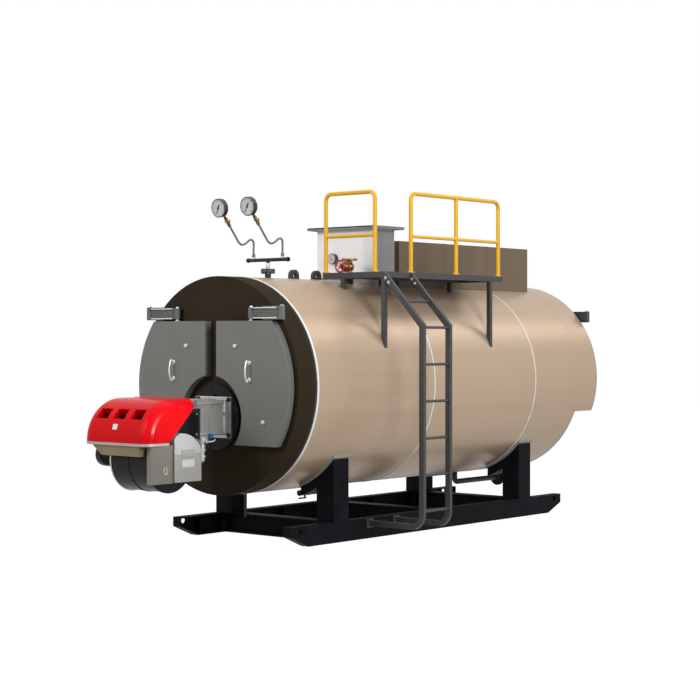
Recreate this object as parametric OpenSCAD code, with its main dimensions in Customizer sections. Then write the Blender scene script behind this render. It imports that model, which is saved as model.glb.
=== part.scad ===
// Packaged horizontal fire-tube boiler on a skid.
// The origin is on the ground under the middle of the skid.
// The boiler's axis runs along Y with the burner at -Y, the ladder is at +X, and +Z is up.

/* [Shell] */
// Outer radius of the clad shell
shell_r = 1050; // [1020:5:1100]
// Height of the shell's axis over the ground
axis_h = 1520; // [1460:5:1600]
// Wall of the shell with its lagging
shell_wall = 40; // [20:1:80]
// Place of the front plate's outer face
front_y = -2475; // [-2600:5:-2400]
// Length of the dark front drum
drum_l = 235; // [200:5:380]
// Length of the front course
course_1_l = 1828; // [1700:2:1900]
// Length of the middle course
course_2_l = 1812; // [1700:2:1900]
// Length of the rear course
course_3_l = 893; // [800:1:950]
// Width of a seam band
band_w = 14; // [8:1:30]
// How far a seam band stands proud
band_t = 3; // [2:0.5:6]
// Width of the trim ring behind the drum
trim_w = 26; // [16:1:40]
// Thickness of the flat end plates
plate_t = 22; // [12:1:40]

/* [Rear smokebox] */
// Length of the rear smokebox
rear_box_l = 378; // [300:2:450]
// Depth of its flat floor below the axis
rear_floor_drop = 378; // [300:2:450]
// Wall of the rear smokebox
rear_wall = 30; // [15:1:50]
// Thickness of the rear cover
rear_cover_t = 30; // [15:1:50]
// How far the rear cover lies inside the outline
rear_cover_inset = 14; // [6:1:30]

/* [Skid] */
// Height of the skid beams
skid_h = 200; // [160:5:240]
// Half length of the runners
skid_half_l = 2293; // [2200:1:2400]
// Outer face of a runner from the middle
skid_x = 790; // [740:5:840]
// Width of a runner's flanges
runner_w = 100; // [80:1:120]
// Web thickness of the runners and beams
web_t = 14; // [8:1:20]
// Flange thickness of the runners and beams
flange_t = 16; // [10:1:24]
// Length of a sled end
sled_l = 250; // [150:5:320]
// Height of a sled end's cut
sled_h = 105; // [60:1:120]
// Radius of a tie-down hole
tie_hole_r = 30; // [15:1:34]
// Tie-down hole from the runner's end
tie_hole_in = 130; // [110:1:200]
// Width of a cross beam
beam_w = 150; // [100:2:200]

/* [Saddles] */
// Distance of a saddle from the middle
saddle_y = 1570; // [1450:5:1700]
// Thickness of a saddle along the boiler
saddle_t = 224; // [180:2:260]
// Width of a saddle's foot
saddle_foot_w = 218; // [180:2:260]
// Inner end of a saddle's wing from the middle
wing_x = 367; // [320:1:420]
// Thickness of the wing under the shell
wing_t = 84; // [60:1:110]
// Thickness of the curved pad
pad_t = 12; // [8:1:20]
// How far the pad reaches past the saddle
pad_lap = 14; // [8:1:24]

/* [Front doors] */
// Thickness of a door
door_t = 80; // [40:1:90]
// Gap between a door and the front plate
door_gap = 5; // [5:0.5:8]
// Margin from the drum's outline to a door's round edge
door_margin = 55; // [50:1:90]
// Top edge of a door below the shell's crown
door_top_drop = 430; // [425:1:460]
// Bottom edge of a door above the shell's lowest line
door_bottom_rise = 499; // [450:1:550]
// Half gap between the two doors
door_half_gap = 72; // [20:1:90]
// Radius of the doors' cut-out round the burner
cutout_r = 400; // [372:1:440]
// How far a door laps over its opening
door_lap = 45; // [30:1:60]
// Depth of the lining plug behind a door
plug_l = 50; // [20:1:70]
// Gap round the lining plug
plug_gap = 24; // [16:1:30]
// Handle from the middle
handle_x = 504; // [470:1:540]
// Lower end of a handle above the axis
handle_z = 42; // [20:1:80]
// Length of a handle
handle_l = 206; // [160:1:240]
// Bar radius of a handle
handle_r = 10; // [7:0.5:14]
// Reach of a handle
handle_reach = 58; // [40:1:80]
// Radius of a peephole knob
knob_r = 19; // [12:1:26]
// Reach of a peephole knob
knob_l = 26; // [16:1:40]
// Upper knob from the middle and above the axis
knob_high = [326, 383];
// Lower knob from the middle and below the axis
knob_low = [680, 326];

/* [Davit arms] */
// Middle of an arm above the doors' top edge
arm_rise = 73; // [70:1:90]
// Height of an arm
arm_h = 104; // [80:1:110]
// Thickness of an arm
arm_t = 50; // [36:1:54]
// Web of an arm
arm_web_t = 16; // [10:1:24]
// Flange of an arm
arm_flange_t = 14; // [8:1:20]
// Outer pin inside the shell's widest line
arm_inset = 170; // [150:1:215]
// Length of an arm between its pins
arm_l = 388; // [370:1:440]
// Radius of a hinge pin
pin_r = 14; // [10:0.5:18]
// Eye radius round a pin
eye_r = 30; // [26:0.5:32]
// Clearance of a hinge pin and of its thrust faces
pin_gap = 0.3; // [0.2:0.1:0.6]
// Thickness of a bracket plate
bracket_t = 10; // [6:1:10]
// Reach of a bracket over the front plate from its pin
bracket_l = 220; // [150:2:240]

/* [Burner] */
// Burner axis below the boiler's axis
burner_drop = 296; // [280:1:310]
// Radius of the black burner flange
burner_flange_r = 315; // [300:1:340]
// Thickness of the burner flange
burner_flange_t = 28; // [16:1:40]
// Radius of the burner's throat tube
throat_r = 240; // [200:2:260]
// Wall of the throat tube
throat_wall = 30; // [16:1:50]
// Half width of the mounting plate
mount_half_w = 225; // [200:1:270]
// Half height of the mounting plate
mount_half_h = 196; // [180:1:205]
// Thickness of the mounting plate
mount_t = 20; // [12:1:30]
// Half width of the burner head
head_half_w = 178; // [150:1:220]
// Half height of the burner head
head_half_h = 165; // [140:1:180]
// Front end of the head from the front plate
head_end = 460; // [420:2:500]
// Half width of the dark burner body
body_half_w = 230; // [200:1:265]
// Top of the body above the burner axis
body_top = 100; // [60:1:140]
// How far the body reaches into the hood
body_reach = 84; // [80:2:140]

/* [Hood] */
// Half width of the hood
hood_half_w = 428; // [360:1:450]
// Top of the hood above the burner axis
hood_top = 201; // [180:1:230]
// Bottom of the hood below the burner axis
hood_bottom = 185; // [170:1:220]
// Nose of the hood from the front plate
hood_nose = 1326; // [1280:2:1380]
// Length of the hood along its top
hood_l = 605; // [560:2:640]
// Length of the hood along its bottom
hood_low_l = 280; // [240:2:300]
// Radius of the nose curve
nose_r = 380; // [340:2:384]
// Radius of the hood's rolled side edges
hood_edge_r = 110; // [60:1:120]
// Facets across a rolled edge
roll_steps = 6; // [4:1:12]
// Facets round the full circle of the hood's nose curve
nose_facets = 72; // [48:12:180]
// Wall of the hood
hood_wall = 10; // [6:0.5:16]
// Clearance round the hood
hood_clear = 2; // [1:0.5:4]
// Straight drop of the hood's rear corner
hood_lip = 62; // [40:1:80]
// Width of a vent
vent_w = 150; // [100:2:160]
// Height of a vent
vent_h = 86; // [60:2:110]
// Spacing of the vents
vent_pitch = 222; // [180:1:240]
// Middle of the vents above the burner axis
vent_z = 70; // [40:1:90]

/* [Fan] */
// Thickness of the burner's base plate
base_t = 25; // [16:1:36]
// Half width of the base plate's tongue
tongue_half_w = 222; // [180:1:228]
// Radius of the fan volute
volute_r = 283; // [240:1:300]
// Fan axis behind the hood's nose
fan_back = 367; // [340:1:400]
// Fan axis below the boiler's axis
fan_drop = 651; // [640:1:670]
// Far face of the volute
volute_x0 = -137; // [-180:1:-100]
// Near face of the volute
volute_x1 = 350; // [320:1:360]
// Radius of the motor
motor_r = 112; // [90:1:130]
// Motor axis above the fan's axis
motor_rise = 28; // [0:1:60]
// Length of the motor
motor_l = 410; // [300:2:440]
// Radius of the motor's end cap
motor_cap_r = 92; // [60:1:110]
// Length of the motor's end cap
motor_cap_l = 46; // [20:1:80]
// Depth of the air chute under the base plate
chute_h = 92; // [60:1:110]
// Half width of the chute's top
chute_half_w = 310; // [280:1:330]
// How much the chute narrows at its far side
chute_taper = 130; // [80:1:150]
// Front of the chute behind the hood's nose
chute_inset = 20; // [10:1:40]
// Length of the chute from front to back
chute_l = 225; // [180:1:240]
// Thickness of the volute's side cover
cover_t = 51; // [30:1:60]
// Length of the side cover
cover_l = 270; // [200:2:280]
// Height of the side cover
cover_h = 342; // [300:2:360]
// Back edge of the cover ahead of the fan's axis
cover_ahead = 18; // [0:1:40]
// Thickness of the damper box
damper_t = 66; // [56:1:90]
// Length of the damper box
damper_l = 340; // [300:1:360]
// Height of the damper box
damper_h = 441; // [400:1:460]
// Radius of the lid's long slope
damper_lid_r = 280; // [260:1:320]
// Radius of the lid's front
damper_nose_r = 100; // [90:1:120]
// Top of the damper's lid above the base plate
damper_rise = 78; // [60:1:100]
// How far the damper reaches ahead of the fan's axis
damper_ahead = 10; // [0:1:30]
// Crest of the lid behind the damper's front
damper_crest = 90; // [70:1:100]
// Height of the damper lid's seam above the box bottom
damper_seam_h = 250; // [220:1:270]

/* [Gas valve] */
// Gas pipe from the middle
gas_x = 176; // [150:1:185]
// Gas valve ahead of the front plate
gas_ahead = 382; // [360:1:400]
// Radius of the gas pipe
gas_r = 27; // [20:0.5:30]
// Length of the gas pipe below the body
gas_l = 98; // [80:1:110]
// Radius of the gas valve's foot
gas_foot_r = 38; // [30:0.5:40]
// Height of the gas valve's foot
gas_foot_h = 14; // [8:0.5:20]
// Radius of the gas valve's cross body
gas_body_r = 32; // [28:0.5:36]
// Length of the gas valve's cross body
gas_body_l = 86; // [60:1:92]
// Radius of the gas valve's spindle
gas_spindle_r = 13.5; // [8:0.5:18]
// Reach of the gas valve's spindle
gas_spindle_l = 65; // [50:1:80]

/* [Gauges] */
// Gauge stand along the boiler
stand_y = -1757; // [-1900:5:-1700]
// Rise of the manifold above the crown
manifold_rise = 178; // [150:1:220]
// Half length of the manifold
manifold_half_l = 278; // [240:1:300]
// Radius of the manifold
manifold_r = 18; // [14:0.5:24]
// Gauge pipes from the middle
gauge_x = 194; // [170:1:210]
// Radius of a siphon pipe
siphon_r = 11; // [8:0.5:14]
// Radius of a dial case
dial_r = 92; // [70:1:110]
// Depth of a dial case
dial_t = 46; // [30:1:60]
// Downward tilt of the dials
dial_tilt = 8; // [0:1:20]
// Radius of the stand's pipe stub
stub_r = 30; // [20:1:40]
// Radius of the stand's flanges
stand_flange_r = 70; // [60:1:90]
// Thickness of one of the stand's flanges
stand_flange_t = 20; // [12:1:24]
// Lower flange above the crown
stand_flange_rise = 46; // [30:1:60]
// Radius of a siphon's socket on the manifold
socket_r = 13; // [10:0.5:18]
// Radius of a siphon's elbows
elbow_r = 14; // [12:0.5:18]
// Crest of a siphon above the manifold
siphon_crest = 200; // [150:1:240]
// Middle of a siphon's dip, ahead of the stand and above the manifold
siphon_dip = [115, 160];
// End of a siphon's dip, ahead of the stand and above the manifold
siphon_low = [205, 160];
// Middle of a dial, ahead of the stand and above the manifold
dial_place = [480, 494];
// Radius of a gauge cock
cock_r = 17.5; // [14:0.5:22]
// Length of a gauge cock
cock_l = 95; // [60:1:120]
// Length of a dial's stem from its middle to the cock
stem_l = 121; // [110:1:140]

/* [Crown fittings] */
// Places of the lifting lugs along the boiler
lug_places = [-1377, -1033];
// Radius of a lug's round top
lug_r = 62; // [50:1:80]
// Thickness of a lug
lug_t = 40; // [20:1:50]
// Radius of a lug's eye
lug_eye_r = 26; // [16:0.5:30]
// Eye of a lug above the crown
lug_rise = 31; // [30:1:60]
// Top of the steam nozzle's neck above the crown
nozzle_rise = 30; // [20:1:60]
// Thickness of the steam nozzle's flange
nozzle_t = 22; // [14:1:30]
// Steam nozzle from the middle
valve_x = 262; // [220:1:290]
// Steam nozzle along the boiler
valve_y = -819; // [-850:1:-790]
// Radius of the valve flanges
valve_flange_r = 84; // [70:1:95]
// Height of the valve between its flanges
valve_h = 160; // [140:1:180]
// Thickness of a valve flange
valve_flange_t = 18; // [12:1:24]
// Radius of the valve's neck
valve_neck_r = 30; // [22:1:36]
// Radius of the valve's bulb
valve_bulb_r = 50; // [42:1:58]
// Radius of the valve's outlet
valve_bore_r = 21; // [14:0.5:21]
// Radius of the steam nozzle's neck
nozzle_r = 42; // [34:1:50]
// Radius of the valve's bonnet
bonnet_r = 25; // [18:1:32]
// Reach of the valve's bonnet
bonnet_l = 99; // [80:1:120]
// Radius of the valve's stem
stem_r = 8.4; // [6:0.2:12]
// Handwheel from the valve's axis
wheel_reach = 160; // [140:1:190]
// Radius of the handwheel's rim
wheel_r = 58; // [48:1:70]
// Bar radius of the handwheel's rim
wheel_rim_r = 7; // [5:0.5:10]
// Radius of the handwheel's hub
wheel_hub_r = 17; // [12:0.5:24]
// Radius of a handwheel spoke
spoke_r = 5; // [3:0.5:6]
// Number of handwheel spokes
spoke_count = 5; // [3:1:6]

/* [Platform] */
// Rise of the platform's beams above the crown
deck_rise = 2; // [0:1:20]
// Height of the platform's beams
deck_beam_h = 58; // [44:1:80]
// Width of the platform's beams
deck_beam_w = 44; // [36:1:60]
// Inset of the platform's outer edge from the shell's side
deck_inset = 63; // [50:1:80]
// Inner edge of the deck from the middle
deck_in_x = 420; // [400:1:460]
// Front end of the deck
deck_y0 = -1145; // [-1200:5:-1120]
// Rear end of the deck
deck_y1 = 864; // [820:2:920]
// Inner end of the long front beam
front_beam_x = 185; // [150:1:220]
// Thickness of the deck plate
deck_t = 8; // [5:0.5:12]
// Rear strut along the boiler
strut_y = 630; // [560:2:700]

/* [Railings] */
// Radius of a rail tube
rail_r = 21; // [17:0.5:22]
// Height of the top rail over the deck
rail_h = 790; // [700:5:1100]
// Height of the middle rail over the deck
rail_mid_h = 362; // [300:2:600]
// Tube radius of the middle rail
rail_mid_r = 17; // [12:0.5:21]
// Bend radius of a rail's corner
rail_bend = 70; // [50:1:110]
// Inner post of the front railing
front_post_x0 = 210; // [206:1:260]
// Outer post of the front railing
front_post_x1 = 848; // [780:1:900]
// First post of the rear railing
rear_post_y0 = -700; // [-710:1:-650]
// Middle post of the rear railing
rear_post_y1 = 57; // [0:1:100]
// Last post of the rear railing
rear_post_y2 = 809; // [760:1:820]

/* [Ladder] */
// Reach of the upright stiles from the middle
ladder_x = 1449; // [1400:1:1500]
// Height of the stiles' upper bend above the axis
ladder_knee = 573; // [520:1:620]
// Place of the front stile
stile_y0 = -1155; // [-1180:1:-1140]
// Clear width between the stiles
ladder_w = 380; // [340:1:420]
// Depth of a stile
stile_d = 56; // [40:1:70]
// Thickness of a stile
stile_t = 40; // [24:1:50]
// Height of the stiles' feet over the ground
foot_h = 122; // [90:1:130]
// Inner bend radius at the feet
foot_bend = 100; // [60:1:140]
// Radius of a rung
rung_r = 14; // [10:0.5:18]
// Spacing of the rungs
rung_pitch = 357; // [330:1:370]
// Number of rungs on the uprights
rung_count = 5; // [4:1:5]
// Rung on the ladder's slope above its knee
slope_rung_rise = 240; // [200:1:300]
// Lowest rung above the foot's bend
low_rung_rise = 28; // [20:1:60]

/* [Tank and flue casing] */
// Half width of the tank
tank_half_w = 380; // [350:1:400]
// Front of the tank
tank_y0 = -578; // [-600:1:-560]
// Length of the tank
tank_l = 347; // [300:1:380]
// Rise of the tank's floor above the crown
tank_rise = 32; // [20:1:60]
// Height of the tank
tank_h = 514; // [450:2:560]
// Wall of the tank
tank_wall = 8; // [4:0.5:16]
// Overhang of the tank's lid
lid_lap = 75; // [40:1:90]
// Thickness of the tank's lid
lid_t = 12; // [6:0.5:20]
// Width of a bearer under the tank
bearer_w = 60; // [40:1:80]
// Bearer inside the tank's front and back
bearer_inset = 30; // [10:1:60]
// Depth of a bearer below the crown before it is cut to the shell
bearer_drop = 190; // [120:1:220]
// Tank gauge from the middle
tank_gauge_x = -147; // [-180:1:-120]
// Rise of the tank gauge above the crown
tank_gauge_rise = 231; // [200:1:300]
// Radius of the tank's gauge
tank_gauge_r = 55; // [40:1:70]
// Half width of the flue casing
casing_half_w = 378; // [350:1:400]
// Front of the flue casing
casing_y0 = -148; // [-180:1:-130]
// Length of the flue casing
casing_l = 2375; // [2300:5:2400]
// Rise of the flue casing above the crown
casing_rise = 420; // [380:2:460]
// Wall of the flue casing
casing_wall = 20; // [10:1:40]

/* [Drains] */
// Blowdown outlet in front of the second seam
blow_back = 62; // [50:1:100]
// Radius of the blowdown pipe
blow_r = 30; // [24:0.5:40]
// Drop of the blowdown pipe below the shell
blow_drop = 115; // [100:1:140]
// Blowdown flange in front of the shell's rear end
blow_inset = 109; // [80:1:160]
// Radius of the blowdown flange
blow_flange_r = 92; // [80:1:100]
// Bore of the blowdown flange
blow_bore_r = 24; // [16:0.5:26]
// Depth of the blowdown's bore
blow_bore_l = 120; // [60:1:200]
// Thickness of the blowdown's flange
blow_flange_t = 24; // [16:1:30]
// Bend radius of the blowdown
blow_bend = 45; // [40:1:60]
// Drain valve along the boiler
drain_y = -1208; // [-1300:2:-1150]
// Drum drain along the boiler
drum_drain_y = -2079; // [-2150:1:-2000]
// Radius of the drum drain
drum_drain_r = 13; // [10:0.5:18]
// Drop of the front drain pipe below the shell
drum_drain_l = 240; // [200:1:280]
// Radius of the drain valve's neck
drain_r = 30; // [20:1:40]
// Drop of the drain valve's body below the shell
drain_neck = 60; // [50:1:90]
// Radius of the drain valve's body
drain_body_r = 24; // [18:1:30]
// Length of the drain valve's body ahead of its neck
drain_ahead = 90; // [60:1:120]
// Length of the drain valve's body behind its neck
drain_behind = 60; // [40:1:90]

/* [Hidden] */
$fn = 180;
seat_gap = 0.3;
crown = axis_h + shell_r;
drum_y1 = front_y + drum_l;
seam_1_y = drum_y1 + course_1_l;
seam_2_y = seam_1_y + course_2_l;
shell_y1 = seam_2_y + course_3_l;
rear_y1 = shell_y1 + rear_box_l;
shell_in_r = shell_r - shell_wall;
saddle_r = shell_r + pad_t + seat_gap;
door_r = shell_r - door_margin;
door_y = front_y - door_gap - door_t;
pivot_y = front_y - door_gap - door_t / 2;
door_top = shell_r - door_top_drop;
door_bottom = shell_r - door_bottom_rise;
hinge_z = axis_h + door_top + arm_rise;
arm_outer_x = shell_r - arm_inset;
arm_inner_x = arm_outer_x - arm_l;
burner_z = axis_h - burner_drop;
base_z = burner_z - hood_bottom;
hood_rear = hood_nose - hood_l;
hood_rear_low = hood_nose - hood_low_l;
body_end = hood_rear + body_reach;
gas_top = burner_z - head_half_h;
blow_y = seam_2_y - blow_back;
blow_end_y = shell_y1 - blow_inset;
fan_d = hood_nose - fan_back;
fan_z = axis_h - fan_drop;
fan_y = front_y - fan_d;
manifold_z = crown + manifold_rise;
dial_slope = (dial_place - siphon_low) / norm(dial_place - siphon_low);
nozzle_z = crown + nozzle_rise;
valve_z0 = nozzle_z + nozzle_t;
cock_end = dial_place - stem_l * dial_slope;
cock_start = cock_end - cock_l * dial_slope;
siphon_path = [[0, 2 * manifold_r], [0, siphon_crest], siphon_dip, siphon_low, cock_start];
tank_z = crown + tank_rise;
tank_y1 = tank_y0 + tank_l;
deck_z0 = crown + deck_rise;
deck_z1 = deck_z0 + deck_beam_h;
deck_x1 = shell_r - deck_inset;
rail_x = deck_x1 - deck_beam_w / 2;
stile_y1 = stile_y0 + stile_t + ladder_w;

// Colours as the photograph shows them
cladding_tan = "#b0977d";
dark_brown = "#362d23";
door_grey = "#737470";
silver = "#c9cacb";
near_black = "#1b1922";
steel_grey = "#4a4a4a";
rail_yellow = "#f2b90f";
hood_red = "#e8101a";

// An outline in X and Z, drawn from y0 to y0 + t
module slab_y(y0, t) {
    translate([0, y0 + t, 0]) rotate([90, 0, 0]) linear_extrude(t) children();
}

// An outline in Y and Z, drawn from x0 to x0 + t
module slab_x(x0, t) {
    translate([x0, 0, 0]) rotate([90, 0, 90]) linear_extrude(t) children();
}

module box(x0, x1, y0, y1, z0, z1) {
    translate([x0, y0, z0]) cube([x1 - x0, y1 - y0, z1 - z0]);
}

module rod_x(x0, x1, y, z, r) {
    translate([x0, y, z]) rotate([0, 90, 0]) cylinder(h = x1 - x0, r = r);
}

module rod_y(x, y0, y1, z, r) {
    translate([x, y0, z]) rotate([-90, 0, 0]) cylinder(h = y1 - y0, r = r);
}

module rod_z(x, y, z0, z1, r) {
    translate([x, y, z0]) cylinder(h = z1 - z0, r = r);
}

// A straight rod between any two points
module rod(p, q, r) {
    v = q - p;
    flat = norm([v[0], v[1]]);
    translate(p) rotate([0, atan2(flat, v[2]), atan2(v[1], v[0])]) cylinder(h = norm(v), r = r);
}

module ring_y(y0, y1, r_out, r_in) {
    translate([0, 0, axis_h]) difference() {
        rod_y(0, y0, y1, 0, r_out);
        rod_y(0, y0 - 1, y1 + 1, 0, r_in);
    }
}

// The shell's outside with a seat gap, to cut what stands on it
module shell_form(y0, y1) {
    rod_y(0, y0, y1, axis_h, shell_r + seat_gap);
}

module both_sides() {
    children();
    mirror([1, 0, 0]) children();
}

// Skid

module runner_side() {
    polygon([[-skid_half_l, sled_h], [-skid_half_l + sled_l, 0], [skid_half_l - sled_l, 0],
        [skid_half_l, sled_h], [skid_half_l, skid_h], [-skid_half_l, skid_h]]);
}

module runner_hollow() {
    polygon([[-skid_half_l + web_t, sled_h + flange_t], [-skid_half_l + sled_l, flange_t],
        [skid_half_l - sled_l, flange_t], [skid_half_l - web_t, sled_h + flange_t],
        [skid_half_l - web_t, skid_h - flange_t], [-skid_half_l + web_t, skid_h - flange_t]]);
}

module skid_runners() {
    color(near_black) both_sides() difference() {
        slab_x(skid_x - runner_w, runner_w) runner_side();
        slab_x(skid_x - runner_w - 1, runner_w - web_t + 1) runner_hollow();
        for (end = [-1, 1])
            rod_x(skid_x - web_t - 1, skid_x + 1, end * (skid_half_l - tie_hole_in), (skid_h + sled_h) / 2,
                tie_hole_r);
    }
}

module beam_section() {
    difference() {
        translate([-beam_w / 2, 0]) square([beam_w, skid_h]);
        for (side = [-1, 1])
            translate([side * (beam_w + web_t) / 4 - (beam_w - web_t) / 4 + side * 0.5, flange_t])
                square([(beam_w - web_t) / 2 + 1, skid_h - 2 * flange_t]);
    }
}

module cross_beams() {
    beam_half_l = skid_x - runner_w;
    color(near_black) for (y = [-saddle_y, 0, saddle_y])
        translate([0, y, 0]) slab_x(-beam_half_l, 2 * beam_half_l) beam_section();
}

// Saddles

module saddle_outline() {
    top = sqrt(saddle_r * saddle_r - skid_x * skid_x);
    foot = axis_h - skid_h;
    difference() {
        union() {
            translate([skid_x - saddle_foot_w, -foot]) square([saddle_foot_w, foot - top]);
            intersection() {
                circle(r = saddle_r + wing_t);
                translate([wing_x, -foot]) square([skid_x - wing_x, foot - top]);
            }
        }
        circle(r = saddle_r);
    }
}

module pad_outline() {
    intersection() {
        difference() {
            circle(r = shell_r + pad_t);
            circle(r = shell_r + seat_gap);
        }
        translate([wing_x - pad_lap, -2 * shell_r])
            square([skid_x - wing_x + 2 * pad_lap, 2 * shell_r]);
    }
}

module saddles() {
    color(near_black) for (y = [-saddle_y, saddle_y])
        both_sides() translate([0, 0, axis_h]) slab_y(y - saddle_t / 2, saddle_t) saddle_outline();
}

module saddle_pads() {
    color("#9aa39c") for (y = [-saddle_y, saddle_y])
        both_sides() translate([0, 0, axis_h])
            slab_y(y - saddle_t / 2 - pad_lap, saddle_t + 2 * pad_lap) pad_outline();
}

// Shell

module shell_front_course() {
    color(cladding_tan) ring_y(drum_y1 + plate_t, seam_1_y, shell_r, shell_in_r);
}

module shell_middle_course() {
    color(cladding_tan) ring_y(seam_1_y, seam_2_y, shell_r, shell_in_r);
}

module shell_rear_course() {
    color(cladding_tan) ring_y(seam_2_y, shell_y1 - plate_t, shell_r, shell_in_r);
}

module seam_bands() {
    color(silver) {
        ring_y(drum_y1 + plate_t, drum_y1 + plate_t + trim_w, shell_r + band_t, shell_r + seat_gap);
        for (y = [seam_1_y, seam_2_y])
            ring_y(y - band_w / 2, y + band_w / 2, shell_r + band_t, shell_r + seat_gap);
    }
}

module front_drum() {
    color(dark_brown) ring_y(front_y + plate_t, drum_y1, shell_r, shell_in_r);
}

// One door's outline on the right side, drawn in by a margin
module door_outline(margin) {
    difference() {
        intersection() {
            circle(r = door_r - margin);
            translate([door_half_gap + margin, -door_bottom + margin])
                square([door_r, door_top + door_bottom - 2 * margin]);
        }
        translate([0, -burner_drop]) circle(r = cutout_r + margin);
    }
}

module front_plate() {
    color(dark_brown) translate([0, 0, axis_h]) slab_y(front_y, plate_t) difference() {
        circle(r = shell_r);
        both_sides() door_outline(door_lap);
        translate([0, -burner_drop]) circle(r = throat_r - throat_wall);
    }
}

module tube_plate() {
    color("#5b5046") translate([0, 0, axis_h]) slab_y(drum_y1, plate_t) difference() {
        circle(r = shell_r);
        translate([0, -burner_drop]) circle(r = throat_r - throat_wall);
    }
}

module burner_throat() {
    color(near_black) difference() {
        rod_y(0, front_y + plate_t, drum_y1, burner_z, throat_r);
        rod_y(0, front_y, drum_y1 + 1, burner_z, throat_r - throat_wall);
    }
}

// Rear smokebox

module rear_outline(margin) {
    intersection() {
        circle(r = shell_r - margin);
        translate([-shell_r, -rear_floor_drop + margin]) square([2 * shell_r, 2 * shell_r]);
    }
}

module rear_end_plate() {
    color(dark_brown) rod_y(0, shell_y1 - plate_t, shell_y1, axis_h, shell_r);
}

module rear_smokebox() {
    color(cladding_tan) translate([0, 0, axis_h]) slab_y(shell_y1, rear_box_l - rear_cover_t) difference() {
        rear_outline(0);
        rear_outline(rear_wall);
    }
}

module rear_cover() {
    color(dark_brown) translate([0, 0, axis_h])
        slab_y(rear_y1 - rear_cover_t, rear_cover_t) rear_outline(rear_cover_inset);
}

// Front davit hinges and the like brackets on the rear cover

// Plan outline of a bracket plate on the right side, from its pin back to a flat face
module bracket_plan(face_y, pin_y) {
    reach = abs(face_y - pin_y);
    circle(r = eye_r);
    translate([-bracket_l, -eye_r]) square([bracket_l, eye_r + reach]);
}

module hinge_bracket(face_y, pin_y) {
    half = arm_h / 2 + pin_gap;
    turn = face_y > pin_y ? 0 : 1;
    translate([arm_outer_x, pin_y, hinge_z]) mirror([0, turn, 0]) {
        for (side = [0, 1])
            mirror([0, 0, side]) translate([0, 0, half])
                linear_extrude(bracket_t) bracket_plan(face_y, pin_y);
        translate([0, 0, -half - bracket_t]) cylinder(h = 2 * (half + bracket_t), r = pin_r);
    }
}

module door_brackets() {
    color(silver) both_sides() hinge_bracket(front_y, pivot_y);
}

module rear_hinges() {
    pin_y = rear_y1 + door_gap + eye_r;
    color(silver) both_sides() {
        hinge_bracket(rear_y1, pin_y);
        translate([0, 0, hinge_z]) difference() {
            union() {
                rod_z(arm_outer_x, pin_y, -arm_h / 2, arm_h / 2, eye_r);
                box(arm_inner_x, arm_outer_x, rear_y1, pin_y + arm_t / 2, -arm_h / 2, arm_h / 2);
            }
            rod_z(arm_outer_x, pin_y, -arm_h, arm_h, pin_r + pin_gap);
        }
    }
}

module davit_arm() {
    y0 = pivot_y - arm_t / 2;
    hollow = (arm_t - arm_web_t) / 2;
    translate([0, 0, hinge_z - arm_h / 2]) difference() {
        union() {
            difference() {
                box(arm_inner_x, arm_outer_x, y0, y0 + arm_t, 0, arm_h);
                for (y = [y0 - 1, y0 + arm_t - hollow])
                    box(arm_inner_x - 1, arm_outer_x + 1, y, y + hollow + 1,
                        arm_flange_t, arm_h - arm_flange_t);
            }
            for (x = [arm_inner_x, arm_outer_x])
                rod_z(x, pivot_y, 0, arm_h, eye_r);
        }
        for (x = [arm_inner_x, arm_outer_x])
            rod_z(x, pivot_y, -1, arm_h + 1, pin_r + pin_gap);
    }
}

module right_davit() {
    color(silver) davit_arm();
}

module left_davit() {
    color(silver) mirror([1, 0, 0]) davit_arm();
}

module door() {
    translate([0, 0, axis_h]) {
        slab_y(door_y, door_t) door_outline(0);
        slab_y(door_y + door_t, door_gap + plug_l) door_outline(door_lap + plug_gap);
    }
}

module right_door() {
    color(door_grey) door();
}

module left_door() {
    color(door_grey) mirror([1, 0, 0]) door();
}

module bow_handle() {
    grip_y = door_y - handle_reach;
    z0 = axis_h + handle_z;
    z1 = z0 + handle_l;
    for (z = [z0, z1]) {
        rod_y(handle_x, grip_y, door_y, z, handle_r);
        translate([handle_x, grip_y, z]) sphere(r = handle_r);
    }
    rod_z(handle_x, grip_y, z0, z1, handle_r);
}

// Handle, knobs and the pin that hangs the door in its arm
module door_fittings() {
    bow_handle();
    rod_y(knob_high[0], door_y - knob_l, door_y, axis_h + knob_high[1], knob_r);
    rod_y(knob_low[0], door_y - knob_l, door_y, axis_h - knob_low[1], knob_r);
    top = hinge_z + arm_h / 2 + pin_gap;
    rod_z(arm_inner_x, pivot_y, axis_h + door_top, top, pin_r);
    rod_z(arm_inner_x, pivot_y, top, top + pin_r, eye_r);
}

module right_door_fittings() {
    color(silver) door_fittings();
}

module left_door_fittings() {
    color(silver) mirror([1, 0, 0]) door_fittings();
}

// Burner, with distances measured forwards from the front plate

function ahead(d) = front_y - d;

module burner_flange() {
    color(near_black) difference() {
        rod_y(0, ahead(burner_flange_t), front_y, burner_z, burner_flange_r);
        rod_y(0, ahead(burner_flange_t) - 1, front_y + 1, burner_z, throat_r - throat_wall);
    }
}

module burner_mount_plate() {
    color(silver) box(-mount_half_w, mount_half_w, ahead(burner_flange_t + mount_t), ahead(burner_flange_t),
        burner_z - mount_half_h, burner_z + mount_half_h);
}

module burner_head() {
    color("#8f9296") box(-head_half_w, head_half_w, ahead(head_end), ahead(burner_flange_t + mount_t),
        burner_z - head_half_h, burner_z + head_half_h);
}

module burner_body() {
    color("#232a2f")
        box(-body_half_w, body_half_w, ahead(body_end), ahead(head_end), base_z, burner_z + body_top);
}

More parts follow.
